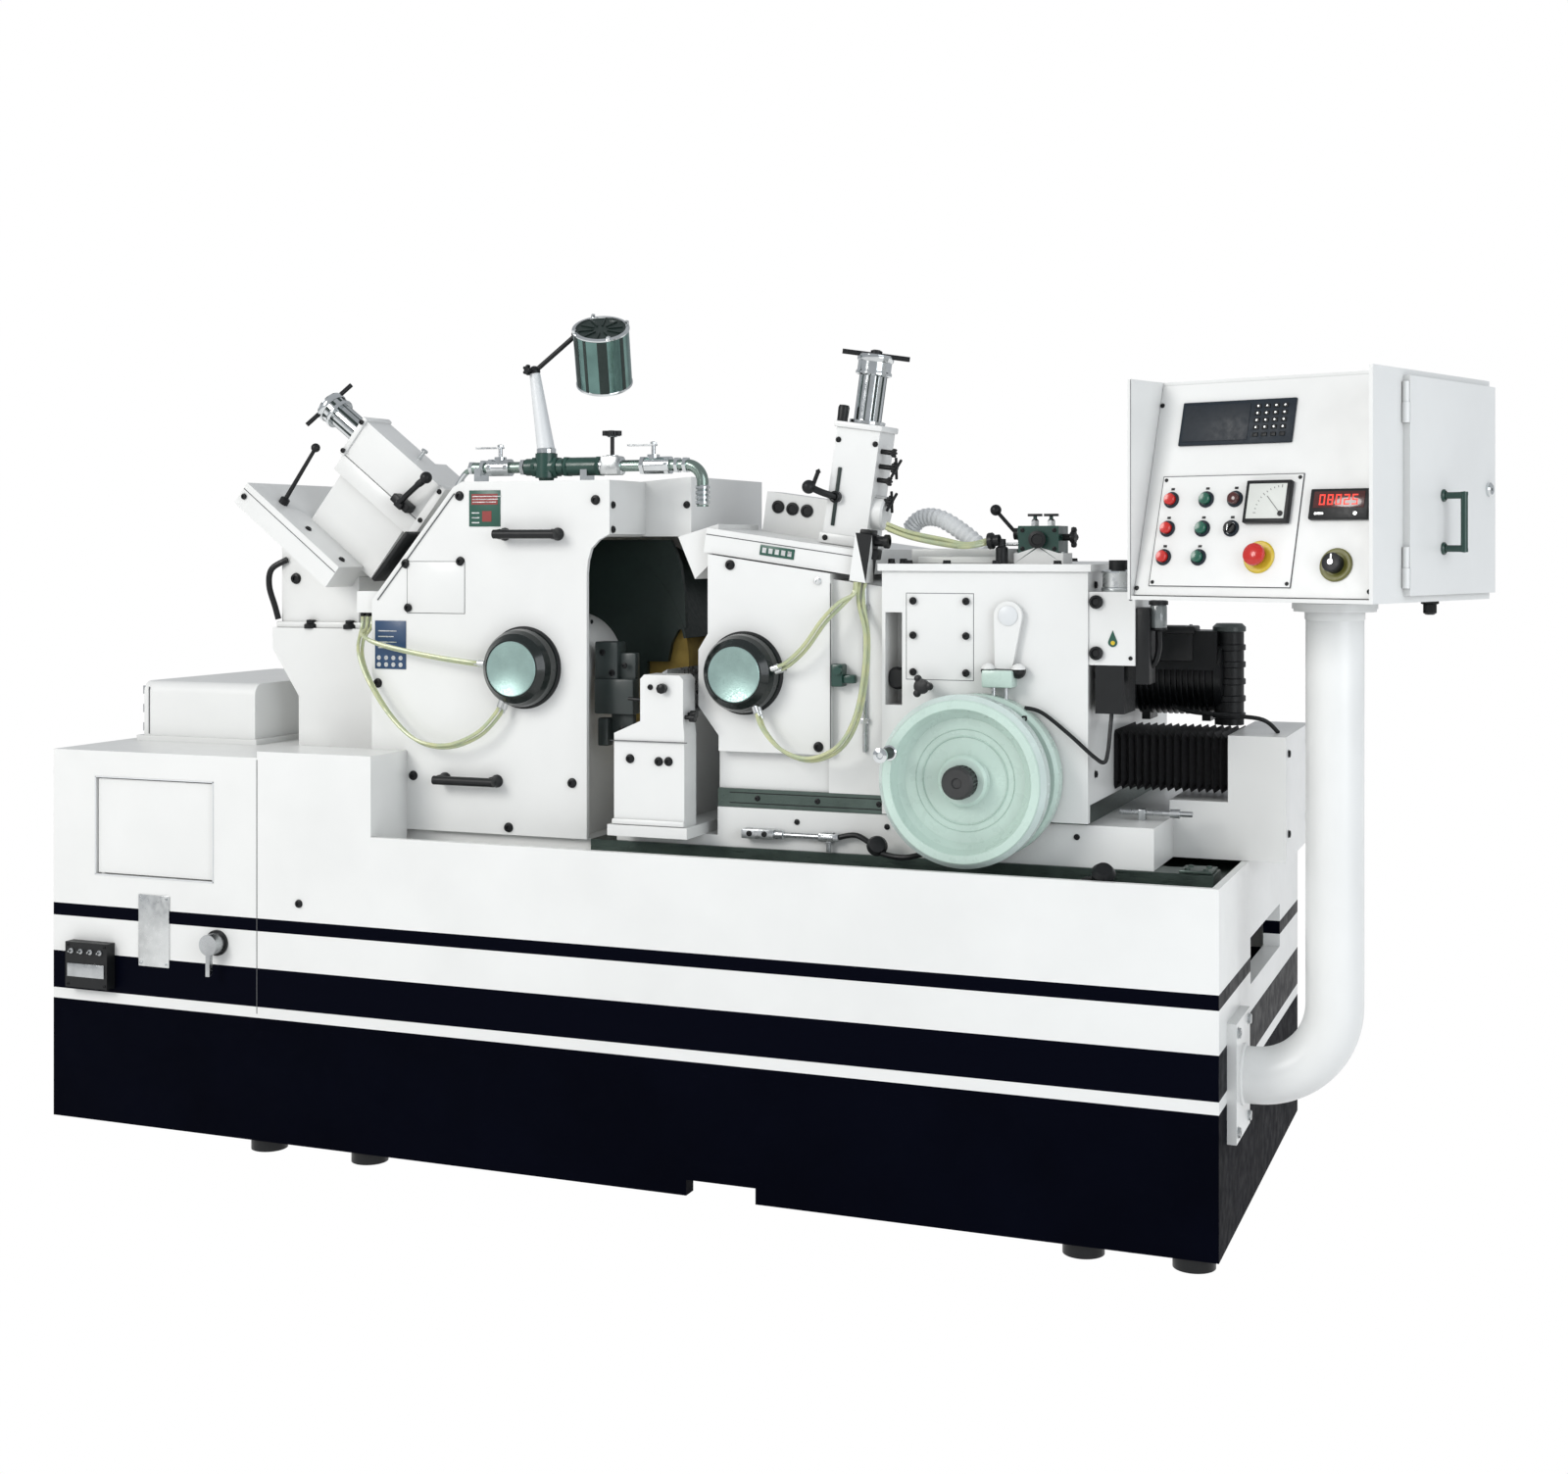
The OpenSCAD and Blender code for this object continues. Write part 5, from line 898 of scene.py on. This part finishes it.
def lube_details():
    (Piece().turned((1207, -446, (1272, 1384)), FRONT, (15, 0, 15, 8, 10, 11, 8, 6, 0, 6), 16)
     .screw((1282, -446, (1262, 1392)), FRONT, 4)
     .box(1290.5, -440, 1205, 1322, -372, 1372, 3)
     .tube([(1335, -406, 1325), (1336, -406, 1285), (1326, -406, 1250), (1305, -406, 1238)], 6.5)
     .turned((1335, -406, 1378), UP, (21, 0, 21, 8, 12, 12, 0, 12), 20)
     .turned((1335, -406, 1320), UP, (8, 0, 19, 4, 19, 8), 20)
     .done("lube_fittings", "upper_slide", plastic))
    (Piece().turned((1335, -406, 1326), UP, (0, 1, 17.5, 1, 18.5, 4, 18.5, 48, 17, 52, 0, 52), 24)
     .done("sight_glass", "upper_slide", glass_grey))
    p = Piece()
    outline = [polar(10, 150 + 20 * k, 1243, 1296) for k in range(13)] + [(1243, 1322)]
    p.prism(outline, (-447.5, -446)).done("drop_mark", "upper_slide", plate_green)
    (Piece().turned((1243.5, -447.5, 1295), FRONT, (4.8, 0, 4.8, 0.6, 0, 0.6), 14)
     .done("drop_centre", "upper_slide", yellow))
    (Piece().turned((1242.5, -388, 1406), UP, (36, 0, 37.5, 3, 37.5, 8, 34.5, 10))
     .turned((1242.5, -388, 1446), UP, (34.5, 0, 37.5, 1, 37.5, 5, 30, 8))
     .done("lube_cap_rings", "upper_slide", chrome))
    Piece().box(1226, -400, 1462, 1262, -376, 1474, 2).done("lube_cap_knob", "upper_slide", plastic)


def motor_details():
    p = Piece()
    for k in range(13):
        p.turned((1205 + 13.5 * k, 60, 1205), ACROSS, (90, 0, 101, 0.5, 101, 4.5, 90, 5), 48)
    (p.turned((1388, 60, 1205), ACROSS, (98, 0, 103, 3, 103, 20, 60, 30, 0, 30), 48)
     .box(1235, -46, 1235, 1345, 20, 1312, 4)
     .box(1230, -50, 1300, 1350, 25, 1318, 4)
     .turned((1420, 14, (1100, 1140, 1180, 1220, 1260)), UP, (34, 0, 38, 2, 38, 14, 34, 16), 32)
     .done("motor_fins", "upper_slide", black))
    (Piece().turned((1420, 14, 1304), UP, (34.5, 0, 38.5, 2, 38.5, 12, 30, 20, 0, 20), 32)
     .done("motor_cap", "upper_slide", bracket_grey))
    Piece().screw(((1250, 1330), (-40, 14), 1318), UP, 4).done("motor_box_screws", "upper_slide", steel)
    lead = (Piece().tube([(1300, -44, 1130), (1360, -110, 1122), (1450, -150, 1120), (1520, -140, 1112),
            (1550, -110, 1082)], 5, 10, 8)
     .done("motor_lead", None, plastic))
    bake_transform(lead)


def bellows_piece():
    """The pleated cover between the slides, in metres."""
    x0, x1, folds = 1.19, 1.452, 15
    y, z = (-0.19, 0.06), (0.945, 1.082)
    corner, fold_depth = 0.01, 0.0135
    bm = bmesh.new()
    rings = []
    for i in range(4 * folds + 1):
        phase = i % 4 / 4
        depth = fold_depth * (1 - abs(2 * phase - 1)) ** 0.8
        ya, yb, za, zb = y[0] + depth, y[1] - depth, z[0] + depth, z[1] - depth
        outline = [(ya + corner, za), (yb - corner, za), (yb, za + corner), (yb, zb - corner),
                   (yb - corner, zb), (ya + corner, zb), (ya, zb - corner), (ya, za + corner)]
        rings.append([bm.verts.new((x0 + (x1 - x0) * i / (4 * folds), p, q)) for p, q in outline])
    join(bm, rings)
    obj = add_mesh(bm, "bellows_folds", rubber)
    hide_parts("bellows")
    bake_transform(obj)


def trough_details():
    (Piece().box(372, -462, 826, 452, -432, 848, 2)
     .turned((452, -447, 837), ACROSS, (11, 0, 11, 20, 6.5, 22, 6.5, 115, 12, 117, 12, 145), 12)
     .turned((584, -447, 837), DOWN, (10, 0, 10, 12, 6, 14, 6, 34, 0, 35), 12)
     .box(560, -458, 828, 610, -436, 846, 3).done("trough_fittings", "lower_slide", steel))
    (Piece().tube([(608, -447, 838), (650, -452, 846), (690, -470, 834), (730, -500, 816), (790, -515, 812),
            (840, -500, 824)], 6.5)
     .screw((392, -462, 838), FRONT, 6)
     .screw((430, -462, 838), FRONT, 6)
     .turned((714, -485, 826), (0.3, -0.8, 0.4), (10, -10, 20, 0, 24, 12, 18, 24, 0, 28))
     .done("trough_hose", "lower_slide", plastic))
    p = Piece()
    for k in range(4):
        p.screw((500 + 220 * k, -432, 866), FRONT, 6)
    p.done("slide_side_screws", "lower_slide", black)
    p = Piece()
    for w in ((-436, -356), (-20, 60), (330, 410)):
        p.box(1385, w[0], 800.5, 1455, w[1], 806.5, 1)
    p.screw(((1400, 1440), (-420, -375), 806.5), UP, 6).done("way_covers", "machine", iron)
    (Piece().turned((1228, -300, 910), ACROSS, (6, 0, 6, 112, 10, 113, 10, 134, 6, 135, 6, 162, 0, 162), 12)
     .box(1270, -312, 893, 1286, -288, 918, 2).done("stop_rod", "lower_slide", steel))
    (Piece().screw((1581, -170, (860, 1040)), ACROSS, 8)
     .screw((1581, 160, (860, 1040)), ACROSS, 8).done("bracket_bolts", "lower_slide", black))


# Workrest
def workrest_details():
    y = -520
    p = Piece()
    for x, z in ((114, 1007), (188, 1003), (213, 1004)):
        p.screw((x, y, z), FRONT, 9.5)
    (p.screw((166, y, 1176), FRONT, 6)
     .turned((236, y + 30, 1112), (1, 0, 0.05), (5, -60, 5, 20, 9, 21, 9, 36, 0, 37), 12)
     .turned((232, y + 12, 1108), (1, 0, -0.05), (5, -50, 5, 30, 10, 31, 10, 44, 0, 45), 12)
     .turned((200, y, 1174), FRONT, (10, 0, 12, 3, 12, 16, 6, 19, 0, 19), 8)
     .turned((150, y + 30, 1142), (-1, 0, 0.06), (4, 0, 4, 55, 0, 56), 10)
     .done("workrest_fittings", "lower_slide", black))
    Piece().box(64, y - 4.5, 1048, 261, y - 0.5, 1049.5, 0).done("workrest_seam", "lower_slide", seam)
    Piece().box(70, y - 10, 853, 256, y, 866, 3).done("workrest_lip", "lower_slide", white)


# Seen from behind
def back_details():
    y = 604
    p = Piece().box(-735, y, 840, 35, y + 3, 1362, 1)
    for i in range(9):
        p.box(-660 + 34 * i, y + 3, 905, -642 + 34 * i, y + 6.5, 1055, 1.5)
    p.done("belt_cover_plate", "machine", cool)
    (Piece().screw(((-718, -350, 18), y + 3, (858, 1344)), BACK, 7.5, 0.7)
     .screw((-760, 520, (1100, 1340)), (-1, 0, 0), 7.5, 0.7)
     .screw(((-720, -20), 520, 1390), UP, 7.5, 0.7)
     .screw(((-840, -570), 613, (700, 770)), BACK, 9, 0.3)
     .screw(((200, 620, 1040, 1400), 613, 745), BACK, 8, 0.3)
     .screw(((-620, -300, 100), 150, 1665), UP, 9, 0.7).done("back_screws", "machine", black))
    p = Piece()
    for x in (-868, -140, 620):
        p.box(x, 612.8, 600, x + 1.6, 613.4, 790, 0)
    p.box(-1380, 612.8, 690, -960, 613.4, 691.6, 0)
    p.box(-1380, 612.8, 930, -960, 613.4, 931.6, 0)
    for x in (-1380, -961.6):
        p.box(x, 612.8, 690, x + 1.6, 613.4, 930, 0)
    p.done("back_seams", "machine", seam)
    Piece().screw(((-1360, -980), 613, (710, 910)), BACK, 7, 0.3).done("hatch_screws", "machine", black)
    (Piece().box(300, 430, 985, 560, 433, 1105, 1.2)
     .box(730, 458, 960, 1165, 461.5, 1410, 1.5).done("housing_back_plates", "upper_slide", cool))
    (Piece().screw(((320, 430, 540), 433, (1002, 1088)), BACK, 6, 0.7)
     .screw(((750, 947.5, 1145), 461.5, (980, 1390)), BACK, 7.5, 0.7)
     .screw((1189, (-380, 380), (1000, 1220, 1420)), ACROSS, 7.5, 0.7)
     .done("housing_back_bolts", "upper_slide", black))
    p = Piece()
    for k in range(6):
        u, w = polar(70, 60 * k + 30, 376, AXIS_Z)
        p.screw((u, 540, w), BACK, 6.5, 0.8)
    (p.turned((376, 538, AXIS_Z), BACK, (34, 0, 34, 6, 28, 9, 6, 9, 4, 4, 0, 4), 32)
     .done("spindle_end", "regulating_rotor", black))
    rear = 288
    p = Piece(PENDANT).box(-300, rear, 1430, 176, rear + 2.5, 1822, 1)
    for i in range(7):
        p.box(-262 + 26 * i, rear + 2.5, 1470, -249 + 26 * i, rear + 5.5, 1570, 1)
    p.done("pendant_back_plate", "pendant", cool)
    (Piece(PENDANT).screw(((-286, -62, 162), rear + 2.5, (1444, 1808)), BACK, 5.5, 0.7)
     .turned((120, 200, 1393), DOWN, (20, 0, 20, 10, 15, 12, 15, 30, 9, 34, 0, 34), 8)
     .done("pendant_back_screws", "pendant", black))


# Pendant
SEGMENTS = {"0": "abcdef", "1": "bc", "2": "abged", "5": "afgcd", "8": "abcdefg"}


def digit(piece, u, w, size, lit, y):
    h, t = size, size * 0.13
    bars = {"a": (0, h, h / 2, h), "d": (0, 0, h / 2, 0), "g": (0, h / 2, h / 2, h / 2),
            "f": (0, h / 2, 0, h), "b": (h / 2, h / 2, h / 2, h), "e": (0, 0, 0, h / 2),
            "c": (h / 2, 0, h / 2, h / 2)}
    for name in SEGMENTS[lit]:
        a, b, c, d = bars[name]
        piece.box(u + a - t / 2, y - 0.6, w + b - t / 2, u + c + t / 2, y, w + d + t / 2, 0)


def panel_details():
    Piece(PANEL).box(-208, -5.5, 336, 56, 0, 432, 2).done("display_bezel", "pendant", display_dark)
    Piece(PANEL).box(-200, -6.8, 344, -46, -5, 424, 1).done("display_pane", "pendant", display_glass)
    p = Piece(PANEL)
    for i, k in product(range(4), range(5)):
        p.box(-34 + 20.5 * i, -7.8, 350 + 15.5 * k, -21.5 + 20.5 * i, -5, 358.5 + 15.5 * k, 0.8)
    p.done("display_keys", "pendant", plastic)
    p = Piece(PANEL)
    for i, k in product(range(4), range(4)):
        p.turned((-27.8 + 20.5 * i, -7.8, 369.8 + 15.5 * k), FRONT, (2.2, 0, 2.2, 0.4, 0, 0.4), 10)
    p.done("display_key_dots", "pendant", tin)
    p = Piece(PANEL)
    for u in ((-233.5, -232), (92, 93.5)):
        p.box(u[0], -2.2, 30.5, u[1], 0, 268.5, 0)
    for w in ((29.5, 31), (268, 269.5)):
        p.box(-233.5, -2.2, w[0], 93.5, 0, w[1], 0)
    p.done("sub_plate_edge", "pendant", seam)
    p = (Piece(PANEL).screw(((-225, 85), -2, (38, 261)), FRONT, 3.6)
     .screw(((-262, 262), 0, (25, 430)), FRONT, 4.5))
    for u, w in (*BUTTONS, SELECTOR, PILOT):
        p.box(u - 4, -2.8, w + 21.5, u + 4, -1.5, w + 26.5, 0)
    p.done("panel_marks", "pendant", black)
    p = Piece(PANEL)
    for u, w in (*BUTTONS, SELECTOR, PILOT):
        p.turned((u, -2, w), FRONT, (17.5, 0, 17.5, 3, 15, 5.2, 12.6, 5.2), 32)
    p.done("button_bezels", "pendant", display_dark)
    (Piece(PANEL).turned((-56, -6, 217), FRONT, (12.5, 0, 12.5, 6, 10, 10, 5, 11.5, 0, 11.8), 24)
     .done("pilot_lamp", "pendant", lens_brown))
    for tint, u, material in (("red", RED_U, red), ("green", GREEN_U, green)):
        for k, w in enumerate(reversed(ROWS), 1):
            (Piece(PANEL).turned((u, -15, w), FRONT, (12.2, -6, 12.2, 0, 10.5, 1.8, 6, 1.2, 0, 0.8))
             .done(f"{tint}_cap_{k}", f"{tint}_button_{k}", material))
    Piece(PANEL).box(-27, -15.5, 163, 74, -2, 253, 2.5).done("meter_frame", "pendant", plastic)
    Piece(PANEL).box(-19, -16.8, 171, 66, -15, 245, 1).done("meter_face", "pendant", meter_white)
    p = Piece(PANEL)
    cu, cw = 58, 181
    for k in range(11):
        turn = 92 + 8.6 * k
        u, w = polar(58, turn, cu, cw)
        half = 3 if k % 5 == 0 else 1.75
        p.box(u - 0.5, -17.2, w - half, u + 0.5, -16.6, w + half, 0,
              Matrix.Rotation(math.radians(90 - turn), 4, "Y"))
    u, w = polar(26, 132, cu, cw)
    (p.box(u - 0.5, -17.6, w - 24, u + 0.5, -17, w + 24, 0, Matrix.Rotation(math.radians(90 - 132), 4, "Y"))
     .turned((cu, -16.8, cw), FRONT, (6, 0, 6, 1, 0, 1), 16).done("meter_scale", "pendant", black))
    Piece(PANEL).box(117, -11.5, 170, 244, 0, 233, 2.5).done("counter_frame", "pendant", plastic)
    Piece(PANEL).box(126, -12.4, 193, 235, -11, 227, 0.8).done("counter_window", "pendant", lens_brown)
    p = Piece(PANEL)
    for k, figure in enumerate("08025"):
        digit(p, 140 + 17.5 * k, 200, 19, figure, -12.4)
    p.done("counter_digits", "pendant", led_red)
    (Piece(PANEL).box(131, -12.2, 179, 150, -11.2, 183.5, 0)
     .turned((218, -11.5, 181), FRONT, (4, 0, 4, 0.8, 0, 0.8), 12).done("counter_marks", "pendant", tin))
    (Piece(PANEL).turned((16, -2, 93), FRONT, (34, 0, 34, 2.2, 31, 5.2, 18, 5.2), 40)
     .done("stop_ring", "pendant", yellow))
    (Piece(PANEL).turned((16, -30, 93), FRONT, (21.5, -10, 23.5, -6, 22.5, 0, 17, 4.5, 0, 6), 40)
     .done("stop_dome", "emergency_stop", red))
    (Piece(PANEL).turned((186, 0, 78), FRONT, (34, 0, 34, 4, 31.5, 6.2, 24, 6.8, 22.5, 6.2), 40)
     .done("speed_dial_ring", "pendant", olive))
    (Piece(PANEL).turned((186, -26, 78), FRONT, (19, -4, 20, -2, 18.5, 1, 14, 2, 0, 2), 32)
     .done("speed_knob_cap", "speed_knob", plastic))
    (Piece(PANEL).box(184.5, -28.5, 81, 187.5, -27.5, 94, 0)
     .turned((186, -28, 78), FRONT, (6, 0, 6, 1, 0, 1), 16).done("speed_pointer", "speed_knob", tin))
    Piece(PANEL).box(-56.8, -20.2, 145.5, -55.2, -19.4, 158, 0).done("selector_line", "selector", tin)


def pendant_details():
    (Piece(DOOR).turned((14.4, 292, (108, 216)), ACROSS, (13, 0, 13, 3, 9, 6), 20)
     .turned((58.4, 292, 100), UP, (0, -0.5, 7.5, 1, 7.5, 8), 16)
     .turned((58.4, 292, 224), DOWN, (0, -0.5, 7.5, 1, 7.5, 8), 16)
     .done("door_grip_ends", "pendant_door", valve_green))
    (Piece(DOOR).turned((14.4, 520, 233), ACROSS, (15, 0, 15, 5, 11, 8, 3, 8, 3, 2, 0, 2), 24)
     .done("door_lock", "pendant_door", chrome))
    Piece(PENDANT).box(-331, -272.4, 1394, -329.5, -272, 1858, 0).done("cheek_seam", "pendant", seam)
    (Piece(PENDANT).turned((0, 0, 1373.5), UP, (61, 0, 88, 1, 88, 12, 85, 15), 48)
     .done("neck_flange", "pendant", white))
    Piece().screw((1520, (-492, -350), (270, 480)), ACROSS, 11).done("flange_bolts", "machine", steel)
    (Piece().turned((1520, -420, 376), ACROSS, (66, 0, 65.5, 4, 60, 7), 48)
     .turned((1710, -420, 1350), UP, (60, 0, 62, 3, 62, 17.5), 48).done("arm_weld", "machine", white))


def caps_details():
    for name, body, x, r in (("grinding", "machine", -206, 95), ("regulating", "upper_slide", 376, 92)):
        (Piece().turned((x, FACE_Y - 66, AXIS_Z), FRONT,
                        (r * 0.70, -3, r * 0.70, 0.8, r * 0.685, 1.8, r * 0.67, 1, 0, 1), 64)
         .done(f"{name}_cap_disc", body, cap_disc))
        (Piece().turned((x, FACE_Y, AXIS_Z), FRONT, (r * 1.06, 0, r * 1.06, 4, r, 7), 64)
         .done(f"{name}_cap_foot", body, plastic))
    for name, body, ends in (
            ("grinding", "machine",
             (((-298, -483, 1217), (-1, 0, 0.1)), ((-246, -483, 1124), (-0.4, 0, -1)))),
            ("regulating", "upper_slide",
             (((466, -483, 1222), (1, 0, 0.3)), ((420, -483, 1130), (0.4, 0, -1))))):
        p = Piece()
        for (x, y, z), axis in ends:
            for k in (-0.5, 0.5):
                p.turned((x + 4 * k, y + 12 * k, z - 6 * k), axis, (8, -6, 8, 12, 6.5, 14, 6.5, 22), 12)
        p.done(f"{name}_hose_ends", body, tin)


for build in (base_details, guard_details, throat_details, line_details, lamp_details, left_dresser_details,
              right_dresser_details, slide_details, handwheel_details, valve_details, lube_details,
              motor_details, bellows_piece, trough_details, workrest_details, back_details, panel_details,
              pendant_details, caps_details):
    build()


# Floor, backdrop and light
PLAIN_WHITE = (1.0, 1.0, 1.0, 1.0)


def stage_material(name, colour):
    """Shows plain white to the camera and in reflections, and keeps the shadow."""
    material, tree, shader = new_material(name)
    wire(tree, shader, {"Base Color": (*colour, 1.0), "Roughness": 0.9, "Specular IOR Level": 0.1})
    rays = add_node(tree, "LightPath", {})
    seen = add_node(tree, "Math", {0: rays["Is Camera Ray"], 1: rays["Is Glossy Ray"]},
                    operation="MAXIMUM")[0]
    plain = add_node(tree, "Emission", {"Color": PLAIN_WHITE, "Strength": 1.0})[0]
    blend = add_node(tree, "MixShader", {0: seen, 1: shader.outputs[0], 2: plain})[0]
    wire(tree, tree.nodes["Material Output"], {"Surface": blend})
    return material


def add_stage():
    mesh = bpy.data.meshes.new("floor")
    half = 14.0
    corners = [(-half, -half, 0), (half, -half, 0), (half, half, 0), (-half, half, 0)]
    mesh.from_pydata(corners, [], [(0, 1, 2, 3)])
    floor = bpy.data.objects.new("floor", mesh)
    mesh.materials.append(stage_material("floor_white", (0.93, 0.93, 0.93)))
    bpy.context.scene.collection.objects.link(floor)


def add_world():
    world = bpy.data.worlds.new("studio")
    bpy.context.scene.world = world
    world.use_nodes = True
    tree = world.node_tree
    ambient = tree.nodes["Background"]
    wire(tree, ambient, {"Color": (0.93, 0.96, 1.0, 1.0), "Strength": 0.50})
    plain = add_node(tree, "Background", {"Color": PLAIN_WHITE, "Strength": 1.0})[0]
    seen = add_node(tree, "LightPath", {})["Is Camera Ray"]
    blend = add_node(tree, "MixShader", {0: seen, 1: ambient.outputs[0], 2: plain})[0]
    wire(tree, tree.nodes["World Output"], {"Surface": blend})


def add_light(name, at, towards, size, power, colour=(1, 1, 1)):
    data = bpy.data.lights.new(name, "AREA")
    data.shape = "DISK"
    data.size = size
    data.energy = power
    data.color = colour
    light = bpy.data.objects.new(name, data)
    light.location = at
    light.rotation_euler = (Vector(towards) - Vector(at)).to_track_quat("-Z", "Y").to_euler()
    bpy.context.scene.collection.objects.link(light)


add_stage()
add_world()
add_light("key", (-3.2, -6.5, 4.6), (0, 0, 0.9), 3.5, 270, (1.0, 0.985, 0.96))
add_light("fill", (5.2, -3.6, 2.4), (0.6, 0, 0.9), 4.0, 105, (0.92, 0.96, 1.0))
bpy.context.scene.view_settings.view_transform = "Standard"
